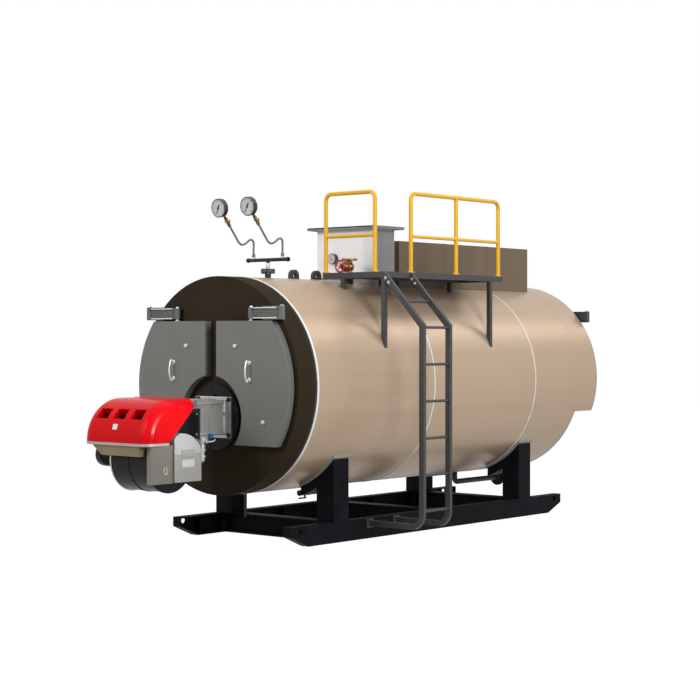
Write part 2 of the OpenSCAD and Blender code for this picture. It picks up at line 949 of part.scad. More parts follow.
// Side outline of the hood in distance ahead and height over the burner axis, drawn in by a margin
// at its top and nose and drawn on past its open back and bottom
module hood_side(margin, past) {
    nose_c = hood_nose - nose_r;
    translate([hood_rear - past, -hood_bottom - past])
        square([nose_c - hood_rear + past, hood_top - margin + hood_bottom + past]);
    intersection() {
        translate([nose_c, hood_top - nose_r]) circle(r = nose_r - margin, $fn = nose_facets);
        translate([nose_c, -hood_bottom - past]) square(2 * nose_r);
    }
}

// What is cut from the hood's back, moved back by a slack
module hood_back(slack) {
    polygon([[hood_rear - 2 * hood_wall, -2 * hood_bottom], [hood_rear_low - slack, -2 * hood_bottom],
        [hood_rear_low - slack, -hood_bottom], [hood_rear + hood_lip - slack, hood_top - 2 * hood_lip],
        [hood_rear - slack, hood_top - hood_lip], [hood_rear - 2 * hood_wall, hood_top - hood_lip]]);
}

// Plan outline of the hood's open bottom
module hood_plan() {
    r = hood_edge_r;
    half = hood_half_w - r;
    translate([-hood_half_w, hood_rear]) square([2 * hood_half_w, hood_l - r]);
    translate([-half, hood_rear]) square([2 * half, hood_l]);
    for (side = [-1, 1])
        translate([side * half, hood_nose - r]) circle(r = r);
}

// The hood's form with its side edges rolled over, drawn in by a margin
module hood_solid(margin) {
    reach = hood_half_w + hood_wall;
    translate([0, front_y, burner_z]) difference() {
        hull() for (i = [0 : roll_steps]) {
            turn = 90 * i / roll_steps;
            half = hood_half_w - margin - hood_edge_r * (1 - sin(turn));
            slab_x(-half, 2 * half) mirror([1, 0])
                hood_side(margin + hood_edge_r * (1 - cos(turn)), max(margin, 0));
        }
        slab_x(-reach, 2 * reach) mirror([1, 0]) hood_back(max(-margin, 0));
    }
}

module burner_hood() {
    color(hood_red) difference() {
        hood_solid(0);
        hood_solid(hood_wall);
        for (i = [-1, 0, 1])
            translate([i * vent_pitch, 0, burner_z + vent_z])
                box(-vent_w / 2, vent_w / 2, ahead(hood_nose), ahead(hood_nose - nose_r / 2),
                    -vent_h / 2, vent_h / 2);
    }
}

module burner_base() {
    color(silver) translate([0, front_y, base_z - base_t]) linear_extrude(base_t) mirror([0, 1]) {
        intersection() {
            hood_plan();
            translate([-hood_half_w, hood_rear_low]) square([2 * hood_half_w, hood_nose]);
        }
        translate([-tongue_half_w, head_end + (body_end - head_end) / 2])
            square([2 * tongue_half_w, hood_rear_low - head_end - (body_end - head_end) / 2]);
    }
}

module air_chute() {
    top = base_z - base_t;
    color("#8b7a58") difference() {
        slab_y(ahead(hood_nose - chute_inset), chute_l)
            polygon([[-chute_half_w, top], [chute_half_w, top], [chute_half_w, top - chute_h],
                [-chute_half_w + chute_taper, top - chute_h]]);
        rod_x(volute_x0 - seat_gap, hood_half_w, fan_y, fan_z, volute_r + seat_gap);
    }
}

module fan_volute() {
    color("#14130f") slab_x(volute_x0, volute_x1 - volute_x0) intersection() {
        translate([fan_y, fan_z]) circle(r = volute_r);
        translate([fan_y - volute_r, fan_z - volute_r])
            square([2 * volute_r, base_z - base_t - fan_z + volute_r]);
    }
}

module volute_cover() {
    top = base_z - base_t - seat_gap;
    rear = fan_d + cover_ahead;
    color("#8d8a80")
        box(volute_x1, volute_x1 + cover_t, ahead(rear + cover_l), ahead(rear), top - cover_h, top);
}

module fan_motor() {
    color(near_black) {
        rod_x(volute_x0 - motor_l + motor_cap_l, volute_x0, fan_y, fan_z + motor_rise, motor_r);
        rod_x(volute_x0 - motor_l, volute_x0, fan_y, fan_z + motor_rise, motor_cap_r);
    }
}

// The upper quarter of a circle whose top is at the origin, on the side that the sign names
module lid_quarter(r, side) {
    intersection() {
        translate([0, -r]) circle(r = r);
        translate([side < 0 ? -r : 0, -r]) square(r);
    }
}

// Side outline of the damper with a lid that rises steeply and slopes off behind
module damper_outline() {
    intersection() {
        square([damper_l, damper_h]);
        union() {
            square([damper_l, damper_seam_h]);
            square([damper_crest, damper_h - damper_nose_r]);
            translate([damper_crest, damper_h]) {
                lid_quarter(damper_nose_r, -1);
                lid_quarter(damper_lid_r, 1);
            }
        }
    }
}

module damper_part(low, high) {
    slab_x(volute_x1, damper_t) translate([ahead(fan_d + damper_ahead), base_z + damper_rise - damper_h])
        intersection() {
            damper_outline();
            translate([0, low]) square([damper_l, high - low]);
        }
}

module damper_box() {
    color("#a9a89f") damper_part(0, damper_seam_h);
}

module damper_lid() {
    color("#dcdcd8") difference() {
        damper_part(damper_seam_h, damper_h);
        hood_solid(-hood_clear);
    }
}

module gas_valve() {
    y = ahead(gas_ahead);
    z0 = gas_top - gas_l;
    mid = gas_top - gas_l / 2;
    color(silver) {
        rod_z(gas_x, y, z0, gas_top, gas_r);
        rod_z(gas_x, y, z0, z0 + gas_foot_h, gas_foot_r);
        rod_y(gas_x, y - gas_body_l / 2, y + gas_body_l / 2, mid, gas_body_r);
        rod_x(gas_x, gas_x + gas_spindle_l, y, mid, gas_spindle_r);
    }
}

// Gauges on the crown

module gauge_stand() {
    flange_z = crown + stand_flange_rise;
    neck_z = flange_z + 2 * stand_flange_t;
    color(near_black) {
        difference() {
            rod_z(0, stand_y, crown - stub_r, flange_z, stub_r);
            shell_form(stand_y - 2 * stub_r, stand_y + 2 * stub_r);
        }
        rod_z(0, stand_y, flange_z, neck_z, stand_flange_r);
        rod_z(0, stand_y, neck_z, manifold_z, manifold_r);
        rod_x(-manifold_half_l, manifold_half_l, stand_y, manifold_z, manifold_r);
        for (x = [-gauge_x, gauge_x])
            rod_z(x, stand_y, manifold_z, manifold_z + 2 * manifold_r, socket_r);
    }
}

// A point of a siphon pipe from its distance ahead of the stand and its rise over the manifold
function siphon_point(x, p) = [x, stand_y - p[0], manifold_z + p[1]];

module siphon(x) {
    last = len(siphon_path) - 1;
    for (i = [0 : last - 1])
        rod(siphon_point(x, siphon_path[i]), siphon_point(x, siphon_path[i + 1]), siphon_r);
    for (i = [1 : last - 1])
        translate(siphon_point(x, siphon_path[i])) sphere(r = elbow_r);
}

module gauge_siphons() {
    color(silver) for (x = [-gauge_x, gauge_x]) siphon(x);
}

// A cock from the siphon's end to the stem of its dial
module gauge_cocks() {
    color("#b08d4a") for (x = [-gauge_x, gauge_x])
        rod(siphon_point(x, cock_start), siphon_point(x, cock_end), cock_r);
}

module dial_case(x) {
    centre = siphon_point(x, dial_place);
    translate(centre) rotate([90 + dial_tilt, 0, 0])
        translate([0, 0, -dial_t / 2]) cylinder(h = dial_t, r = dial_r);
    rod(siphon_point(x, cock_end), centre, siphon_r);
}

module gauge_cases() {
    color(near_black) {
        for (x = [-gauge_x, gauge_x]) dial_case(x);
        rod_y(tank_gauge_x, tank_y0 - dial_t, tank_y0, crown + tank_gauge_rise, tank_gauge_r);
    }
}

// Crown fittings

module lifting_lugs() {
    color(near_black) for (y = lug_places) difference() {
        slab_x(-lug_t / 2, lug_t) difference() {
            union() {
                translate([y, crown + lug_rise]) circle(r = lug_r);
                translate([y - lug_r, crown - lug_r]) square([2 * lug_r, lug_r + lug_rise]);
            }
            translate([y, crown + lug_rise]) circle(r = lug_eye_r);
        }
        shell_form(y - 2 * lug_r, y + 2 * lug_r);
    }
}

module steam_nozzle() {
    color(near_black) {
        difference() {
            rod_z(valve_x, valve_y, crown - valve_flange_r, nozzle_z, nozzle_r);
            shell_form(valve_y - valve_flange_r, valve_y + valve_flange_r);
        }
        rod_z(valve_x, valve_y, nozzle_z, valve_z0, valve_flange_r);
    }
}

module steam_valve() {
    mid = valve_z0 + valve_h / 2;
    color("#9c6b2f") difference() {
        union() {
            for (z = [valve_z0, valve_z0 + valve_h - valve_flange_t])
                rod_z(valve_x, valve_y, z, z + valve_flange_t, valve_flange_r);
            rod_z(valve_x, valve_y, valve_z0, valve_z0 + valve_h, valve_neck_r);
            translate([valve_x, valve_y, mid]) sphere(r = valve_bulb_r);
            rod_y(valve_x, valve_y - bonnet_l, valve_y, mid, bonnet_r);
            rod_y(valve_x, valve_y - wheel_reach, valve_y, mid, stem_r);
        }
        rod_z(valve_x, valve_y, mid, valve_z0 + valve_h + 1, valve_bore_r);
    }
}

module valve_handwheel() {
    t = wheel_rim_r;
    color("#c2203a") translate([valve_x, valve_y - wheel_reach + 2 * t, valve_z0 + valve_h / 2])
        rotate([90, 0, 0]) difference() {
            union() {
                rotate_extrude() translate([wheel_r, 0]) circle(r = t, $fn = 24);
                translate([0, 0, -t]) cylinder(h = 2 * t, r = wheel_hub_r);
                for (i = [1 : spoke_count])
                    rotate([0, 0, i * 360 / spoke_count]) rotate([0, 90, 0])
                        cylinder(h = wheel_r, r = spoke_r);
            }
            translate([0, 0, -2 * t]) cylinder(h = 4 * t, r = stem_r + seat_gap);
        }
}

// Platform, railings and ladder

module platform_frame() {
    w = deck_beam_w;
    color(steel_grey) {
        box(front_beam_x, deck_x1, deck_y0, deck_y0 + w, deck_z0, deck_z1);
        box(deck_in_x, deck_x1, deck_y1 - w, deck_y1, deck_z0, deck_z1);
        for (x = [deck_in_x, deck_x1 - w])
            box(x, x + w, deck_y0 + w, deck_y1 - w, deck_z0, deck_z1);
    }
}

module platform_deck() {
    w = deck_beam_w;
    color(steel_grey)
        box(deck_in_x + w, deck_x1 - w, deck_y0 + w, deck_y1 - w, deck_z1 - deck_t, deck_z1);
}

// A strut under the frame, cut to the shell
module strut(x, y) {
    w = deck_beam_w;
    foot = axis_h + sqrt(shell_r * shell_r - (x + w) * (x + w));
    difference() {
        box(x, x + w, y, y + w, foot - 1, deck_z0);
        shell_form(y - w, y + 2 * w);
    }
}

module platform_struts() {
    color(steel_grey) for (x = [deck_in_x, deck_x1 - deck_beam_w], y = [deck_y0, strut_y]) strut(x, y);
}

// A railing drawn along X: posts at the given places, with bent corners
module railing(posts) {
    last = len(posts) - 1;
    x0 = posts[0];
    x1 = posts[last];
    rod_z(x0, 0, 0, rail_h - rail_bend, rail_r);
    rod_z(x1, 0, 0, rail_h - rail_bend, rail_r);
    for (i = [1 : 1 : last - 1])
        rod_z(posts[i], 0, 0, rail_h, rail_r);
    rod_x(x0 + rail_bend, x1 - rail_bend, 0, rail_h, rail_r);
    rod_x(x0, x1, 0, rail_mid_h, rail_mid_r);
    translate([x0 + rail_bend, 0, rail_h - rail_bend]) rotate([90, 0, 0]) rotate([0, 0, 90])
        rotate_extrude(angle = 90) translate([rail_bend, 0]) circle(r = rail_r);
    translate([x1 - rail_bend, 0, rail_h - rail_bend]) rotate([90, 0, 0])
        rotate_extrude(angle = 90) translate([rail_bend, 0]) circle(r = rail_r);
}

module front_railing() {
    color(rail_yellow) translate([0, deck_y0 + deck_beam_w / 2, deck_z1])
        railing([front_post_x0, front_post_x1]);
}

module rear_railing() {
    color(rail_yellow) translate([rail_x, 0, deck_z1]) rotate([0, 0, 90])
        railing([rear_post_y0, rear_post_y1, rear_post_y2]);
}

// Side outline of a stile in X and height over the ground
module stile_outline() {
    knee = axis_h + ladder_knee;
    out = ladder_x + stile_d / 2;
    in = ladder_x - stile_d / 2;
    slant = atan2(deck_z1 - knee, ladder_x - deck_x1);
    drop = stile_d / tan(90 - slant / 2);
    bend_r = foot_bend + stile_d;
    polygon([[deck_x1, deck_z1], [deck_x1, deck_z1 - stile_d / cos(slant)],
        [in, knee - drop / 2], [out, knee + drop / 2]]);
    polygon([[in, knee - drop / 2], [out, knee + drop / 2], [out, foot_h + bend_r], [in, foot_h + bend_r]]);
    translate([in - foot_bend, foot_h + bend_r]) intersection() {
        difference() {
            circle(r = bend_r);
            circle(r = foot_bend);
        }
        translate([0, -bend_r]) square(bend_r);
    }
    translate([skid_x, foot_h]) square([in - foot_bend - skid_x, stile_d]);
}

module ladder_stiles() {
    color(steel_grey) for (y = [stile_y0, stile_y1])
        slab_y(y, stile_t) stile_outline();
}

module ladder_rungs() {
    knee = axis_h + ladder_knee;
    y0 = stile_y0 + stile_t;
    y1 = stile_y0 + stile_t + ladder_w;
    slope = (ladder_x - deck_x1) / (deck_z1 - stile_d / 2 - knee);
    rung_top = knee - rung_r;
    color(steel_grey) {
        for (i = [0 : rung_count - 1])
            rod_y(ladder_x, y0, y1, rung_top - i * rung_pitch, rung_r);
        rod_y(ladder_x, y0, y1, foot_h + foot_bend + stile_d + low_rung_rise, rung_r);
        rod_y(ladder_x - slope * (slope_rung_rise + stile_d / 2), y0, y1, knee + slope_rung_rise, rung_r);
    }
}

// Tank and flue casing

module water_tank() {
    color("#ededef") difference() {
        box(-tank_half_w, tank_half_w, tank_y0, tank_y1, tank_z, tank_z + tank_h);
        box(-tank_half_w + tank_wall, tank_half_w - tank_wall, tank_y0 + tank_wall, tank_y1 - tank_wall,
            tank_z + tank_wall, tank_z + tank_h + 1);
    }
}

module tank_lid() {
    color("#8d8d8d") box(-tank_half_w - lid_lap, tank_half_w + lid_lap, tank_y0 - lid_lap, tank_y1 + lid_lap,
        tank_z + tank_h, tank_z + tank_h + lid_t);
}

module tank_bearers() {
    color("#6f7072") for (y = [tank_y0 + bearer_inset, tank_y1 - bearer_inset - bearer_w]) difference() {
        box(-tank_half_w, tank_half_w, y, y + bearer_w, crown - bearer_drop, tank_z);
        shell_form(y - 1, y + bearer_w + 1);
    }
}

module flue_casing() {
    foot = axis_h + sqrt(shell_r * shell_r - casing_half_w * casing_half_w);
    color("#746350") difference() {
        box(-casing_half_w, casing_half_w, casing_y0, casing_y0 + casing_l, foot, crown + casing_rise);
        box(-casing_half_w + casing_wall, casing_half_w - casing_wall, casing_y0 + casing_wall,
            casing_y0 + casing_l - casing_wall, foot - 1, crown + casing_rise - casing_wall);
        shell_form(casing_y0 - 1, casing_y0 + casing_l + 1);
        rod_y(0, seam_2_y - band_w, seam_2_y + band_w, axis_h, shell_r + band_t + seat_gap);
    }
}

// Drains

module blowdown_pipe() {
    bottom = axis_h - shell_r;
    z = bottom - blow_drop;
    bend = blow_bend;
    color(near_black) difference() {
        union() {
            difference() {
                rod_z(0, blow_y, z + bend, bottom + blow_r, blow_r);
                shell_form(blow_y - 2 * blow_r, blow_y + 2 * blow_r);
            }
            translate([0, blow_y + bend, z + bend]) rotate([0, -90, 0]) rotate([0, 0, 180])
                rotate_extrude(angle = 90) translate([bend, 0]) circle(r = blow_r);
            rod_y(0, blow_y + bend, blow_end_y, z, blow_r);
            rod_y(0, blow_end_y - blow_flange_t, blow_end_y, z, blow_flange_r);
        }
        rod_y(0, blow_end_y - blow_bore_l, blow_end_y + 1, z, blow_bore_r);
    }
}

module drain_valves() {
    bottom = axis_h - shell_r;
    color(near_black) difference() {
        union() {
            rod_z(0, drain_y, bottom - drain_neck, bottom + drain_r, drain_r);
            rod_y(0, drain_y - drain_ahead, drain_y + drain_behind, bottom - drain_neck, drain_body_r);
            rod_z(0, drum_drain_y, bottom - drum_drain_l, bottom + drain_r, drum_drain_r);
        }
        shell_form(front_y, shell_y1);
    }
}

skid_runners();
cross_beams();
saddles();
saddle_pads();
shell_front_course();
shell_middle_course();
shell_rear_course();
seam_bands();
front_drum();
front_plate();
tube_plate();
burner_throat();
rear_end_plate();
rear_smokebox();
rear_cover();
rear_hinges();
burner_flange();
burner_mount_plate();
burner_head();
burner_body();
burner_hood();
burner_base();
air_chute();
fan_volute();
volute_cover();
fan_motor();
damper_box();
damper_lid();
gas_valve();
gauge_stand();
gauge_siphons();
gauge_cocks();
gauge_cases();
lifting_lugs();
steam_nozzle();
steam_valve();
valve_handwheel();
platform_frame();
platform_deck();
platform_struts();
front_railing();
rear_railing();
ladder_stiles();
ladder_rungs();
water_tank();
tank_lid();
tank_bearers();
flue_casing();
blowdown_pipe();
drain_valves();
door_brackets();
left_davit();
right_davit();
left_door();
right_door();
left_door_fittings();
right_door_fittings();
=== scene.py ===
"""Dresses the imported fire-tube boiler: finishes, fittings, fasteners, studio light and camera."""
import logging
import math
from dataclasses import dataclass
from enum import Enum
from typing import Optional, Sequence

import bmesh
import bpy
from mathutils import Matrix, Vector


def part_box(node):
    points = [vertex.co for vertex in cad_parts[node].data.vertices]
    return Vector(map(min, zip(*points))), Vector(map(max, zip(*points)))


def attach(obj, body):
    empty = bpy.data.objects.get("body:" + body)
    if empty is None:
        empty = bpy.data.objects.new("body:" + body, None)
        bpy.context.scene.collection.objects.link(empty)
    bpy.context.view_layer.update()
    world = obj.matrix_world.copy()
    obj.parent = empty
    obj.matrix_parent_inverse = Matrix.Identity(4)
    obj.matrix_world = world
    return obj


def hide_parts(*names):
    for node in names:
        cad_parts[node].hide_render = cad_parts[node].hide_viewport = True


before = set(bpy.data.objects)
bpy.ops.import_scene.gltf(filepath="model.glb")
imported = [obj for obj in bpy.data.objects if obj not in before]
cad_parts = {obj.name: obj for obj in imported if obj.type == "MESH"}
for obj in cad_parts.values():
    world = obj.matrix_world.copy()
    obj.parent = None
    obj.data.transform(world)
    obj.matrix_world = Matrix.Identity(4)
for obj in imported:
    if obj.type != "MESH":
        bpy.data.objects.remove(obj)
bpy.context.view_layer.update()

LOG = logging.getLogger("boiler")
Point = tuple[float, float, float]
Spot = tuple[Point, Point, float]
Profile = tuple[tuple[float, float], ...]
BODY_ROOT = "root"
UP: Point = (0.0, 0.0, 1.0)
DOWN: Point = (0.0, 0.0, -1.0)
TO_FRONT: Point = (0.0, -1.0, 0.0)
TO_REAR: Point = (0.0, 1.0, 0.0)
TO_RIGHT: Point = (1.0, 0.0, 0.0)
TO_LEFT: Point = (-1.0, 0.0, 0.0)
COAT_ROUGHNESS = 0.12
NOISE_ROUGHNESS = 0.55
FINE_DETAIL = 6.0
FINE_SHARE = 0.45
BROAD_DETAIL = 3.0
BROAD_SCALE = 0.06
BROAD_SHARE = 0.55
RAMP_ENDS = (0.3, 0.7)
GLOSS_DRIFT = 0.07
RELIEF_DEPTH = 0.002
EDGE_ANGLE = 0.6
RIM_ANGLE = 0.9
EDGE_PROFILE = 0.6
SMOOTH_ANGLE = math.radians(38.0)
SOFT_ANGLE = math.radians(50.0)


def fill(tree: bpy.types.NodeTree, node: bpy.types.Node, inputs: dict) -> None:
    """Fills a node's inputs.

    Args:
        tree: the node tree.
        node: the node.
        inputs: for each input's name or number, a socket to link or a value to set.
    """
    for key, value in inputs.items():
        if isinstance(value, bpy.types.NodeSocket):
            tree.links.new(value, node.inputs[key])
        else:
            node.inputs[key].default_value = value


def add_node(tree: bpy.types.NodeTree, kind: str, inputs: Optional[dict] = None,
             **settings: str) -> bpy.types.Node:
    """Adds a node to a tree.

    Args:
        tree: the node tree.
        kind: the node's type.
        inputs: sockets or values for its inputs.
        settings: the node's own settings.

    Returns:
        The node.
    """
    node = tree.nodes.new(kind)
    for name, value in settings.items():
        setattr(node, name, value)
    fill(tree, node, inputs or {})
    return node


@dataclass(frozen=True)
class Finish:
    """One surface finish: its colour, gloss and fine texture."""

    name: str
    slot: str
    colour: tuple[float, float, float]
    roughness: float = 0.4
    metallic: float = 0.0
    coat: float = 0.0
    variation: float = 0.12
    bump: float = 0.05
    scale: float = 40.0
    stretch: Point = (1.0, 1.0, 1.0)
    specular: float = 0.3
    cells: bool = False

    def material(self) -> bpy.types.Material:
        """Makes the node material, or finds the one made before.

        Returns:
            The material that carries this finish.
        """
        found = bpy.data.materials.get(self.name)
        if found:
            return found
        made = bpy.data.materials.new(self.name)
        made.use_nodes = True
        tree = made.node_tree
        coords = add_node(tree, "ShaderNodeTexCoord")
        mapping = add_node(tree, "ShaderNodeMapping",
                           {"Vector": coords.outputs["Object"], "Scale": self.stretch})
        place = mapping.outputs["Vector"]
        if self.cells:
            cells = {"Vector": place, "Scale": self.scale}
            fine = add_node(tree, "ShaderNodeTexVoronoi", cells, feature="SMOOTH_F1").outputs["Distance"]
        else:
            fine = self._noise(tree, place, self.scale, FINE_DETAIL)
        broad = self._noise(tree, place, self.scale * BROAD_SCALE, BROAD_DETAIL)
        span = add_node(tree, "ShaderNodeMapRange",
                        {"Value": fine, "To Min": max(0.05, self.roughness - GLOSS_DRIFT),
                         "To Max": min(1.0, self.roughness + GLOSS_DRIFT)})
        relief = add_node(tree, "ShaderNodeBump",
                          {"Height": fine, "Strength": self.bump, "Distance": RELIEF_DEPTH})
        fill(tree, tree.nodes["Principled BSDF"], {
            "Base Color": self._paint(tree, fine, broad),
            "Metallic": self.metallic,
            "Roughness": span.outputs["Result"],
            "Normal": relief.outputs["Normal"],
            "Specular IOR Level": self.specular,
            "Coat Weight": self.coat,
            "Coat Roughness": COAT_ROUGHNESS,
        })
        return made

    def _noise(self, tree: bpy.types.NodeTree, place: bpy.types.NodeSocket, scale: float,
               detail: float) -> bpy.types.NodeSocket:
        """Adds a noise texture.

        Args:
            tree: the material's node tree.
            place: the stretched coordinates.
            scale: how fine the noise is.
            detail: how many octaves it has.

        Returns:
            The noise's value socket.
        """
        inputs = {"Vector": place, "Scale": scale, "Detail": detail, "Roughness": NOISE_ROUGHNESS}
        return add_node(tree, "ShaderNodeTexNoise", inputs).outputs["Fac"]

    def _paint(self, tree: bpy.types.NodeTree, fine: bpy.types.NodeSocket,
               broad: bpy.types.NodeSocket) -> bpy.types.NodeSocket:
        """Colours the surface from a broad drift and a fine grain.

        Args:
            tree: the material's node tree.
            fine: the fine grain.
            broad: the broad drift.

        Returns:
            The colour's socket.
        """
        drift = add_node(tree, "ShaderNodeMath", {0: broad, 1: BROAD_SHARE}, operation="MULTIPLY")
        blend = add_node(tree, "ShaderNodeMath", {0: fine, 1: FINE_SHARE, 2: drift.outputs[0]},
                         operation="MULTIPLY_ADD")
        ramp = add_node(tree, "ShaderNodeValToRGB", {"Fac": blend.outputs[0]})
        low, high = ramp.color_ramp.elements
        low.position, high.position = RAMP_ENDS
        low.color = (*[c * (1.0 - self.variation) for c in self.colour], 1.0)
        high.color = (*[min(1.0, c * (1.0 + self.variation)) for c in self.colour], 1.0)
        return ramp.outputs["Color"]


BRONZE_CLADDING = Finish("bronze_cladding", "cladding", (0.51, 0.38, 0.27), 0.33, 0.32, specular=0.12,
                         variation=0.05, bump=0.03, scale=9.0, stretch=(3.0, 0.25, 14.0))
DRUM_ENAMEL = Finish("drum_enamel", "front_brown", (0.034, 0.0245, 0.0145), 0.75, bump=0.04,
                     scale=60.0, specular=0.05)
DOOR_ENAMEL = Finish("door_enamel", "door_grey", (0.172, 0.176, 0.163), 0.45, 0.1, bump=0.05,
                     variation=0.05, scale=70.0)
# The seam bands are real trim; their near-white colour is partly a painted highlight, bright all round the
# shell.
TRIM_AND_HIGHLIGHT = Finish("trim_with_painted_highlight", "bright_trim", (0.88, 0.88, 0.90), 0.4, 0.15, variation=0.05,
                     scale=30.0)
HINGE_ZINC = Finish("hinge_zinc", "hinge_steel", (0.12, 0.122, 0.117), 0.48, 0.55, variation=0.18,
                    bump=0.08, scale=50.0)
SKID_ENAMEL = Finish("skid_enamel", "skid_black", (0.007, 0.0065, 0.0095), 0.6, variation=0.7,
                     bump=0.2, scale=90.0, specular=0.05, cells=True)
PAD_PRIMER = Finish("pad_primer", "pad_green", (0.30, 0.33, 0.30), 0.5, scale=60.0)
PLATFORM_ENAMEL = Finish("platform_enamel", "platform_grey", (0.056, 0.056, 0.057), 0.5, bump=0.06,
                         scale=80.0, specular=0.3)
RAIL_GLOSS = Finish("rail_gloss", "rail_yellow", (0.84, 0.46, 0.004), 0.32, coat=0.15, variation=0.0,
                    bump=0.0, scale=90.0, specular=0.25)
HOOD_GLOSS = Finish("hood_gloss", "hood_red", (0.64, 0.001, 0.004), 0.3, coat=0.1, variation=0.03,
                    bump=0.015, scale=60.0, specular=0.06)
BURNER_SATIN = Finish("burner_satin", "burner_black", (0.006, 0.0065, 0.008), 0.34, bump=0.08,
                      variation=0.3, scale=160.0, specular=0.14, cells=True)
BODY_SATIN = Finish("body_satin", "burner_black", (0.010, 0.015, 0.019), 0.45, bump=0.1, scale=140.0,
                    specular=0.3, cells=True)
HEAD_ALLOY = Finish("head_alloy", "burner_alloy", (0.40, 0.40, 0.385), 0.42, 0.45, variation=0.12,
                    bump=0.12, scale=150.0, cells=True)
PLATE_ALLOY = Finish("plate_alloy", "burner_alloy", (0.58, 0.57, 0.53), 0.36, 0.6, variation=0.12,
                     scale=60.0)
RIM_ALLOY = Finish("rim_alloy", "burner_alloy", (0.36, 0.36, 0.33), 0.45, 0.5, variation=0.08,
                   scale=60.0)
CHUTE_KHAKI = Finish("chute_paint", "chute_khaki", (0.23, 0.175, 0.095), 0.42, 0.2, scale=60.0)
COVER_GREY = Finish("cover_grey", "chute_khaki", (0.20, 0.185, 0.16), 0.42, 0.35, scale=60.0)
DAMPER_SHELL = Finish("damper_shell", "damper_grey", (0.36, 0.35, 0.32), 0.5, variation=0.04,
                      bump=0.05, scale=220.0)
DAMPER_TOP = Finish("damper_top", "damper_white", (0.464, 0.464, 0.456), 0.45, variation=0.03,
                    bump=0.04, scale=220.0)
PIPE_BLACK = Finish("pipe_paint", "pipe_black", (0.014, 0.014, 0.015), 0.5, bump=0.15, variation=0.3,
                    scale=150.0, cells=True)
LUG_GREY = Finish("lug_grey", "pipe_black", (0.055, 0.055, 0.058), 0.45, 0.3, scale=120.0, cells=True)
SIPHON_STEEL = Finish("tube_steel", "siphon_steel", (0.19, 0.19, 0.20), 0.42, 0.1, scale=90.0,
                      specular=0.2)
COCK_BRASS = Finish("cock_brass", "brass", (0.25, 0.155, 0.06), 0.36, 0.65, scale=120.0)
GAUGE_RIM = Finish("gauge_rim", "gauge_black", (0.02, 0.02, 0.022), 0.3, 0.2, coat=0.3, scale=90.0)
GAUGE_FACE = Finish("gauge_face", "tank_white", (0.62, 0.62, 0.62), 0.4, variation=0.02, scale=60.0)
# Black for the printed dial marks and hands, and for painted shade: the wall behind the hood's vents, the
# tube bores and the motor's end holes.
INK_AND_SHADE_BLACK = Finish("ink_and_shade_black", "gauge_black", (0.01, 0.01, 0.01), 0.5, scale=60.0)
VALVE_BRONZE = Finish("cast_bronze", "valve_bronze", (0.25, 0.135, 0.045), 0.36, 0.7, bump=0.2,
                      variation=0.3, scale=130.0, cells=True)
WHEEL_GLOSS = Finish("wheel_gloss", "wheel_red", (0.55, 0.012, 0.035), 0.28, coat=0.5, scale=80.0)
KNOB_BLUE = Finish("knob_blue", "wheel_red", (0.02, 0.12, 0.36), 0.35, scale=120.0)
TANK_WHITE = Finish("tank_paint", "tank_white", (0.96, 0.97, 0.98), 0.4, variation=0.01, bump=0.02,
                    scale=40.0)
# Painted shade: a darker grey laid over the white tank's side walls.
TANK_SIDE_SHADE = Finish("tank_side_shade", "tank_lid", (0.26, 0.26, 0.26), 0.45, variation=0.04, bump=0.02,
                   scale=40.0)
LID_GREY = Finish("lid_grey", "tank_lid", (0.23, 0.23, 0.24), 0.4, 0.2, variation=0.05, scale=50.0)
CASING_TAUPE = Finish("casing_paint", "casing_taupe", (0.158, 0.112, 0.072), 0.5, variation=0.05,
                      bump=0.04, scale=30.0)
TUBE_SOOT = Finish("tube_soot", "tube_plate", (0.05, 0.044, 0.04), 0.75, variation=0.45, bump=0.35,
                   scale=45.0)
LINING_PALE = Finish("lining_pale", "pad_green", (0.42, 0.38, 0.32), 0.85, variation=0.25, bump=0.4,
                     scale=40.0)
CHROME = Finish("chrome", "hinge_steel", (0.72, 0.72, 0.73), 0.3, 0.4, scale=150.0)
BOLT_STEEL = Finish("bolt_steel", "hinge_steel", (0.50, 0.50, 0.50), 0.35, 0.85, scale=200.0)

NODE_FINISH: dict[Finish, str] = {
    SKID_ENAMEL: "skid_runners cross_beams saddles",
    PAD_PRIMER: "saddle_pads",
    BRONZE_CLADDING: "shell_front_course shell_middle_course shell_rear_course rear_smokebox",
    TRIM_AND_HIGHLIGHT: "seam_bands",
    DRUM_ENAMEL: "front_drum front_plate rear_end_plate rear_cover",
    TUBE_SOOT: "tube_plate burner_throat",
    LUG_GREY: "rear_hinges lifting_lugs",
    BURNER_SATIN: "burner_flange fan_volute fan_motor",
    PLATE_ALLOY: "burner_mount_plate",
    HEAD_ALLOY: "burner_head gas_valve",
    BODY_SATIN: "burner_body",
    HOOD_GLOSS: "burner_hood",
    RIM_ALLOY: "burner_base",
    CHUTE_KHAKI: "air_chute",
    COVER_GREY: "volute_cover",
    DAMPER_SHELL: "damper_box",
    DAMPER_TOP: "damper_lid",
    PIPE_BLACK: "gauge_stand steam_nozzle blowdown_pipe drain_valves",
    SIPHON_STEEL: "gauge_siphons",
    COCK_BRASS: "gauge_cocks",
    GAUGE_RIM: "gauge_cases",
    VALVE_BRONZE: "steam_valve",
    WHEEL_GLOSS: "valve_handwheel",
    PLATFORM_ENAMEL: "platform_frame platform_deck platform_struts ladder_stiles ladder_rungs",
    RAIL_GLOSS: "front_railing rear_railing",
    TANK_WHITE: "water_tank",
    LID_GREY: "tank_lid tank_bearers",
    CASING_TAUPE: "flue_casing",
    HINGE_ZINC: "door_brackets left_davit right_davit left_door_fittings right_door_fittings",
    DOOR_ENAMEL: "left_door right_door",
}


SOFT_EDGES: dict[float, str] = {
    0.005: "skid_runners flue_casing burner_head",
    0.004: "cross_beams saddles water_tank volute_cover air_chute",
    0.003: "platform_frame tank_lid burner_mount_plate burner_base left_davit right_davit "
           "door_brackets left_door right_door rear_hinges lifting_lugs",
    0.002: "platform_struts tank_bearers",
    0.006: "damper_box damper_lid burner_body",
}


